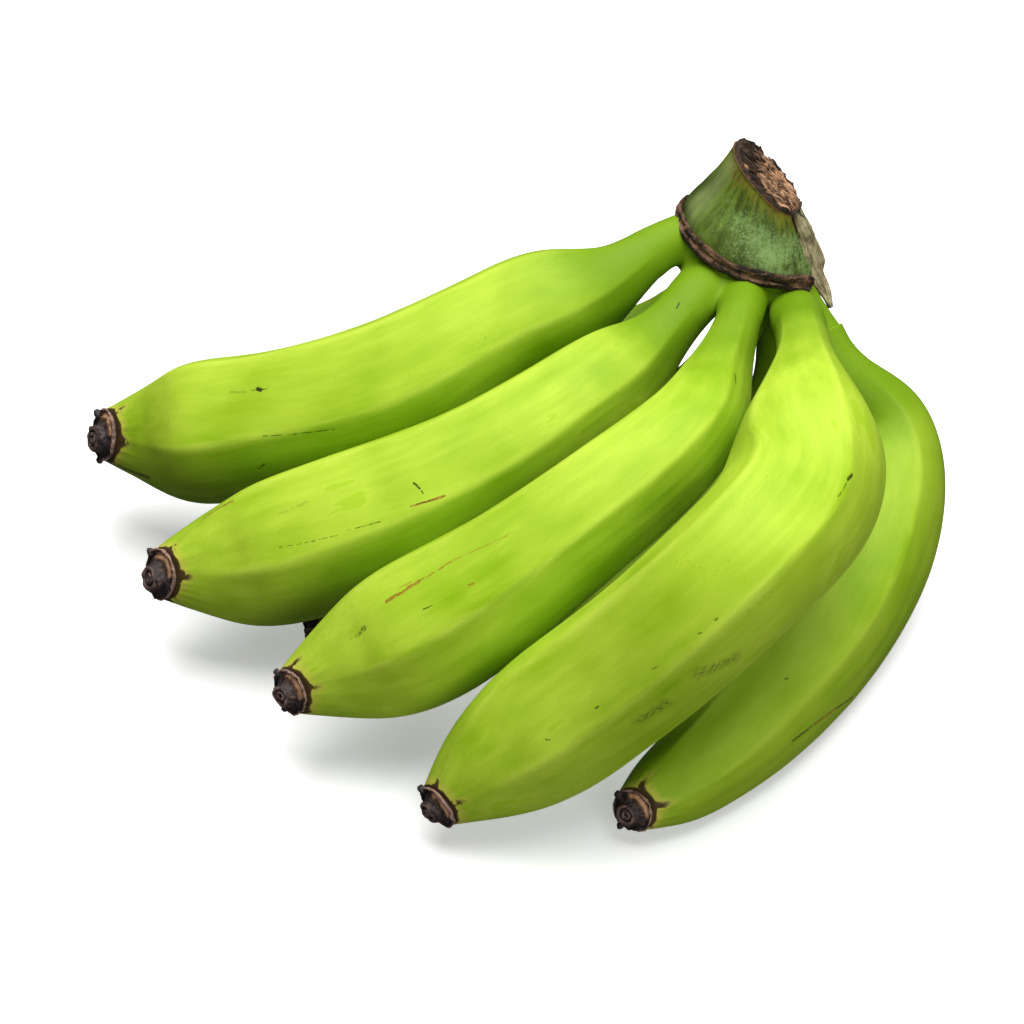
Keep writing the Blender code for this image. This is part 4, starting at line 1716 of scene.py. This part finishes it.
FINGERS = [
    Finger(
        "outer_1",
        [(6.7, 7.7, 10.05), (5.4, 6.7, 10.35), (3.4, 5.3, 9.8), (0.4, 4.1, 9.0),
         (-3.6, 2.9, 7.3), (-8.1, 3.1, 5.5), (-12.6, 4.0, 4.1), (-14.4, 4.2, 3.9)],
        [0.75, 1.15, 1.95, 2.10, 2.30, 2.35, 2.40, 2.27, 1.48, 0.90],
        2.0, -15.0, tip_leans=37.0, seed=1,
        marks=(
            Mark(Blemish.DARK, (14.60, 1.07), (14.06, 1.00), 0.040, 0.90, 1.4),
            Mark(Blemish.DARK, (14.38, 1.07), (14.28, 1.01), 0.110, 1.00, 0.2),
            Mark(Blemish.DARK, (14.36, -0.58), (12.15, -0.86), 0.035, 0.80, 1.5),
            Mark(Blemish.DARK, (15.00, -1.87), (14.74, -1.70), 0.050, 0.70, 0.8),
            Mark(Blemish.CORK, (15.38, 1.13), (14.82, 1.04), 0.050, 0.35, 0.9),
            Mark(Blemish.DARK, (21.21, -1.30), (19.62, -1.93), 0.140, 0.80, 0.8),
        ),
    ),
    Finger(
        "outer_2",
        [(7.1, 6.8, 9.3), (6.2, 4.9, 9.4), (4.3, 2.4, 8.8), (2.3, 0.3, 8.5),
         (-1.1, -1.5, 7.1), (-5.1, -2.2, 5.4), (-8.7, -2.35, 4.0), (-12.0, -2.8, 3.6)],
        [0.90, 1.05, 1.65, 1.90, 2.15, 2.35, 2.45, 2.15, 1.45, 0.85],
        2.4, -12.0, tip_leans=33.0, flutes=0.04, seed=2,
        marks=(
            Mark(Blemish.DARK, (11.80, 0.48), (11.70, 0.22), 0.050, 0.95, 0.9),
            Mark(Blemish.DARK, (11.68, 0.12), (11.66, 0.04), 0.040, 0.95, 0.3),
            Mark(Blemish.RUST, (12.14, -0.20), (11.12, -0.32), 0.050, 0.90, 0.5),
            Mark(Blemish.DARK, (11.93, -0.20), (11.47, -0.28), 0.030, 0.70, 0.6),
            Mark(Blemish.DARK, (16.54, 0.04), (14.47, -0.21), 0.030, 0.70, 1.4),
            Mark(Blemish.DARK, (14.18, -0.17), (13.05, -0.29), 0.030, 0.70, 1.4),
            Mark(Blemish.RUST, (19.60, 1.96), (18.23, 2.17), 0.060, 0.80, 0.8),
            Mark(Blemish.CORK, (16.24, 1.15), (15.14, 1.24), 0.070, 0.30, 1.2),
            Mark(Blemish.DARK, (1.25, 0.23), (0.63, 0.38), 0.045, 0.90, 0.3),
        ),
    ),
    Finger(
        "outer_3",
        [(8.0, 6.4, 9.1), (7.5, 3.3, 9.6), (6.8, 0.8, 9.5), (5.7, -2.4, 9.6),
         (2.5, -5.2, 8.4), (-0.9, -6.5, 6.2), (-4.4, -7.15, 4.1), (-7.5, -8.1, 3.1)],
        [0.70, 0.85, 1.20, 1.55, 1.85, 2.05, 2.35, 2.15, 1.40, 0.75],
        2.4, -10.0, tip_leans=35.0, flutes=0.05, seed=3,
        marks=(
            Mark(Blemish.RUST, (18.18, 1.45), (16.73, 1.51), 0.090, 0.85, 0.9),
            Mark(Blemish.RUST, (16.73, 1.51), (15.37, 1.51), 0.055, 0.70, 1.2),
            Mark(Blemish.RUST, (15.37, 1.51), (13.49, 1.07), 0.040, 0.55, 1.5),
            Mark(Blemish.DARK, (16.99, 0.57), (16.65, 0.53), 0.035, 0.80, 0.8),
            Mark(Blemish.RUST, (15.37, 0.46), (15.22, 0.42), 0.050, 0.80, 0.4),
            Mark(Blemish.RUST, (17.58, 1.66), (16.96, 1.64), 0.030, 0.60, 1.0),
            Mark(Blemish.DARK, (5.02, -0.36), (5.42, -0.52), 0.040, 0.90, 0.3),
            Mark(Blemish.DARK, (20.10, 0.80), (19.60, 0.98), 0.110, 0.75, 1.4),
        ),
    ),
    Finger(
        "outer_4",
        [(9.5, 5.7, 8.2), (9.5, 2.3, 9.7), (9.4, -1.7, 10.6), (8.9, -5.9, 9.9),
         (7.4, -8.6, 9.7), (4.2, -9.8, 6.8), (0.5, -10.3, 3.45), (-2.7, -11.7, 1.4)],
        [0.90, 0.90, 1.25, 2.25, 2.40, 2.35, 2.35, 2.20, 1.50, 0.75],
        2.0, -20.0, tip_leans=25.0, seed=4,
        marks=(
            Mark(Blemish.DARK, (11.07, -0.86), (10.81, -0.99), 0.070, 0.95, 0.4),
            Mark(Blemish.DARK, (11.72, -0.76), (11.10, -0.86), 0.030, 0.70, 1.2),
            Mark(Blemish.CORK, (16.60, -1.64), (15.69, -2.34), 0.360, 0.32, 1.0),
            Mark(Blemish.DARK, (16.50, -1.72), (15.75, -2.25), 0.260, 0.60, 2.2),
            Mark(Blemish.CORK, (18.91, -1.69), (17.97, -1.77), 0.380, 0.32, 1.0),
            Mark(Blemish.DARK, (18.80, -1.70), (18.05, -1.76), 0.270, 0.75, 2.1),
            Mark(Blemish.DARK, (19.59, -0.37), (19.46, -0.37), 0.040, 0.75, 0.8),
            Mark(Blemish.DARK, (21.93, -0.27), (21.80, -0.32), 0.040, 0.75, 0.8),
            Mark(Blemish.DARK, (15.20, -0.57), (15.14, -0.57), 0.040, 0.75, 0.8),
            Mark(Blemish.DARK, (15.69, -0.53), (15.62, -0.57), 0.035, 0.75, 0.8),
            Mark(Blemish.DARK, (17.28, -0.45), (17.09, -0.49), 0.030, 0.60, 1.0),
            Mark(Blemish.CORK, (14.45, -1.06), (14.00, -1.19), 0.200, 0.25, 2.0),
        ),
    ),
    Finger(
        "outer_5",
        [(9.9, 5.6, 8.6), (11.3, 4.0, 6.6), (12.6, 3.4, 5.4), (12.5, 0.9, 3.5),
         (10.8, -2.8, 2.3), (8.7, -6.3, 2.1), (6.2, -9.4, 1.7), (3.4, -11.7, 1.3)],
        [0.85, 1.15, 1.70, 2.05, 2.15, 2.10, 1.85, 1.50, 1.15, 0.70],
        2.2, -23.0, tip_leans=30.0, shade=0.35, seed=5,
        marks=(
            Mark(Blemish.DARK, (16.19, -1.70), (15.27, -1.97), 0.070, 0.90, 1.0),
            Mark(Blemish.RUST, (15.14, -2.02), (13.99, -2.44), 0.080, 0.90, 0.8),
            Mark(Blemish.DARK, (13.99, -2.44), (12.89, -2.96), 0.050, 0.90, 0.8),
            Mark(Blemish.DARK, (12.84, -2.78), (11.82, -2.61), 0.030, 0.60, 1.4),
            Mark(Blemish.DARK, (15.30, 0.17), (15.22, 0.13), 0.040, 0.80, 0.4),
        ),
    ),
    Finger(
        "inner_1",
        [(7.4, 8.0, 8.1), (6.4, 7.7, 7.3), (4.8, 7.3, 6.2), (2.7, 6.9, 4.8),
         (0.2, 6.8, 3.2), (-2.5, 6.5, 2.2), (-5.2, 5.5, 1.8), (-7.2, 4.7, 1.5)],
        [0.80, 0.90, 1.30, 1.65, 1.90, 2.00, 1.95, 1.75, 1.20, 0.75],
        1.6, -10.0, rings=220, around=121, seed=6,
    ),
    Finger(
        "inner_2",
        [(8.4, 7.2, 8.1), (7.7, 5.3, 7.8), (6.3, 3.9, 6.4), (4.1, 2.4, 5.1),
         (1.3, 1.2, 3.5), (-1.7, 0.3, 2.2), (-4.6, -1.4, 1.4), (-6.7, -3.2, 1.2)],
        [0.80, 0.85, 1.15, 1.55, 1.85, 1.85, 1.70, 1.25, 0.95, 0.70],
        2.4, -10.0, rings=220, around=121, seed=7,
    ),
    Finger(
        "inner_3",
        [(9.4, 7.7, 7.7), (9.2, 6.5, 6.5), (9.0, 5.3, 4.7), (8.0, 3.5, 3.5),
         (6.3, 1.3, 2.4), (4.6, -0.8, 2.0), (3.0, -2.9, 1.8), (1.7, -4.4, 1.5)],
        [0.80, 0.85, 1.15, 1.55, 1.85, 1.85, 1.85, 1.65, 1.15, 0.75],
        1.6, -10.0, rings=220, around=121, seed=8,
    ),
]


@dataclass
class Studio:
    """The camera, a pale floor, and soft light."""

    aim: Point = (0.0, 0.0, 4.0)
    distance: float = 120.0
    elevation: float = 40.0
    lens: float = 126.5625
    sensor: float = 36.0
    key_place: Point = (0.12, 0.24, 1.5)  # the lamps are in metres
    key_size: float = 1.6
    key_power: float = 42.0
    fill_place: Point = (0.45, -1.1, 0.45)
    fill_size: float = 0.7
    fill_power: float = 6.0
    sky: float = 0.09
    floor_reaches: float = 4.0
    floor_glows: float = 0.36

    def camera(self) -> None:
        """Make the scene's camera."""
        data = bpy.data.cameras.new("camera")
        data.lens = self.lens
        data.sensor_width = self.sensor
        data.clip_start = 0.05
        data.clip_end = 50.0
        made = new_object("camera", data)
        aim = (np.array(self.aim) + SEAT) * CM
        tilt = radians(self.elevation)
        made.location = aim + np.array([0.0, -np.cos(tilt), np.sin(tilt)]) * self.distance * CM
        made.rotation_euler = (pi / 2.0 - tilt, 0.0, 0.0)
        bpy.context.scene.camera = made

    def _lamp(self, name: str, place: Point, size: float, power: float) -> None:
        """Make a square soft light aimed at the hand.

        Args:
            name: Its name.
            place: Where it stands, in metres.
            size: How wide it is, in metres.
            power: Its power in watts.
        """
        data = bpy.data.lights.new(name, "AREA")
        data.size = size
        data.energy = power
        made = new_object(name, data)
        made.location = place
        made.rotation_euler = (-Vector(place)).to_track_quat("-Z", "Y").to_euler()

    def light(self) -> None:
        """Make the lights and the pale surroundings."""
        self._lamp("key", self.key_place, self.key_size, self.key_power)
        self._lamp("fill", self.fill_place, self.fill_size, self.fill_power)
        world = bpy.data.worlds.new("studio")
        bpy.context.scene.world = world
        world.use_nodes = True
        ground = world.node_tree.nodes["Background"]
        ground.inputs["Color"].default_value = WHITE
        ground.inputs["Strength"].default_value = self.sky
        bpy.context.scene.view_settings.view_transform = "Standard"

    def floor(self) -> None:
        """Make the floor."""
        far = self.floor_reaches
        mesh = bpy.data.meshes.new("floor")
        corners = [(-far, -far, 0.0), (far, -far, 0.0), (far, far, 0.0), (-far, far, 0.0)]
        mesh.from_pydata(corners, [], [(0, 1, 2, 3)])
        surface = Surface("pale_floor", specular=0.1)
        surface.shader.inputs["Emission Color"].default_value = WHITE
        surface.shader.inputs["Emission Strength"].default_value = self.floor_glows
        mesh.materials.append(surface.finish((0.9, 0.9, 0.9, 1.0), 0.8, None, 0.0))
        floor = new_object("floor", mesh)
        # The floor sends no light back up, so the hand's undersides stay deep.
        floor.visible_diffuse = False
        floor.visible_glossy = False


def main() -> None:
    """Build the hand and its studio."""
    logging.basicConfig(level=logging.INFO, format="%(name)s: %(message)s")
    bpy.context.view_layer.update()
    studio = Studio()
    studio.camera()
    studio.light()
    studio.floor()
    peel = GreenPeel()
    tree = finger_tree()
    blossom = DryBlossom().material()
    for finger in FINGERS:
        finger.build(tree, peel)
        BlossomEnd(finger).build(blossom)
    crown = Crown(FINGERS)
    crown.build_cushion(peel)
    crown.build_stub(StubSkin().material())
    bark = DryFibre(
        "scar_bark", colour(158, 118, 88), colour(52, 35, 26), colour(22, 15, 12), across=10.0, balance=0.55,
    )
    crown.build_scar(bark.material())
    torn = DryFibre(
        "torn_fibre", colour(216, 206, 158), colour(164, 152, 100), colour(74, 50, 32), across=10.0, balance=0.50,
    ).material()
    crown.build_torn_back(torn)
    crown.build_strip(torn)
    cut = DryFibre(
        "cut_fibre", colour(236, 184, 140), colour(140, 88, 60), colour(30, 20, 16), across=8.0, balance=0.52,
    )
    crown.build_cut(cut.material())


if __name__ == "__main__":
    main()
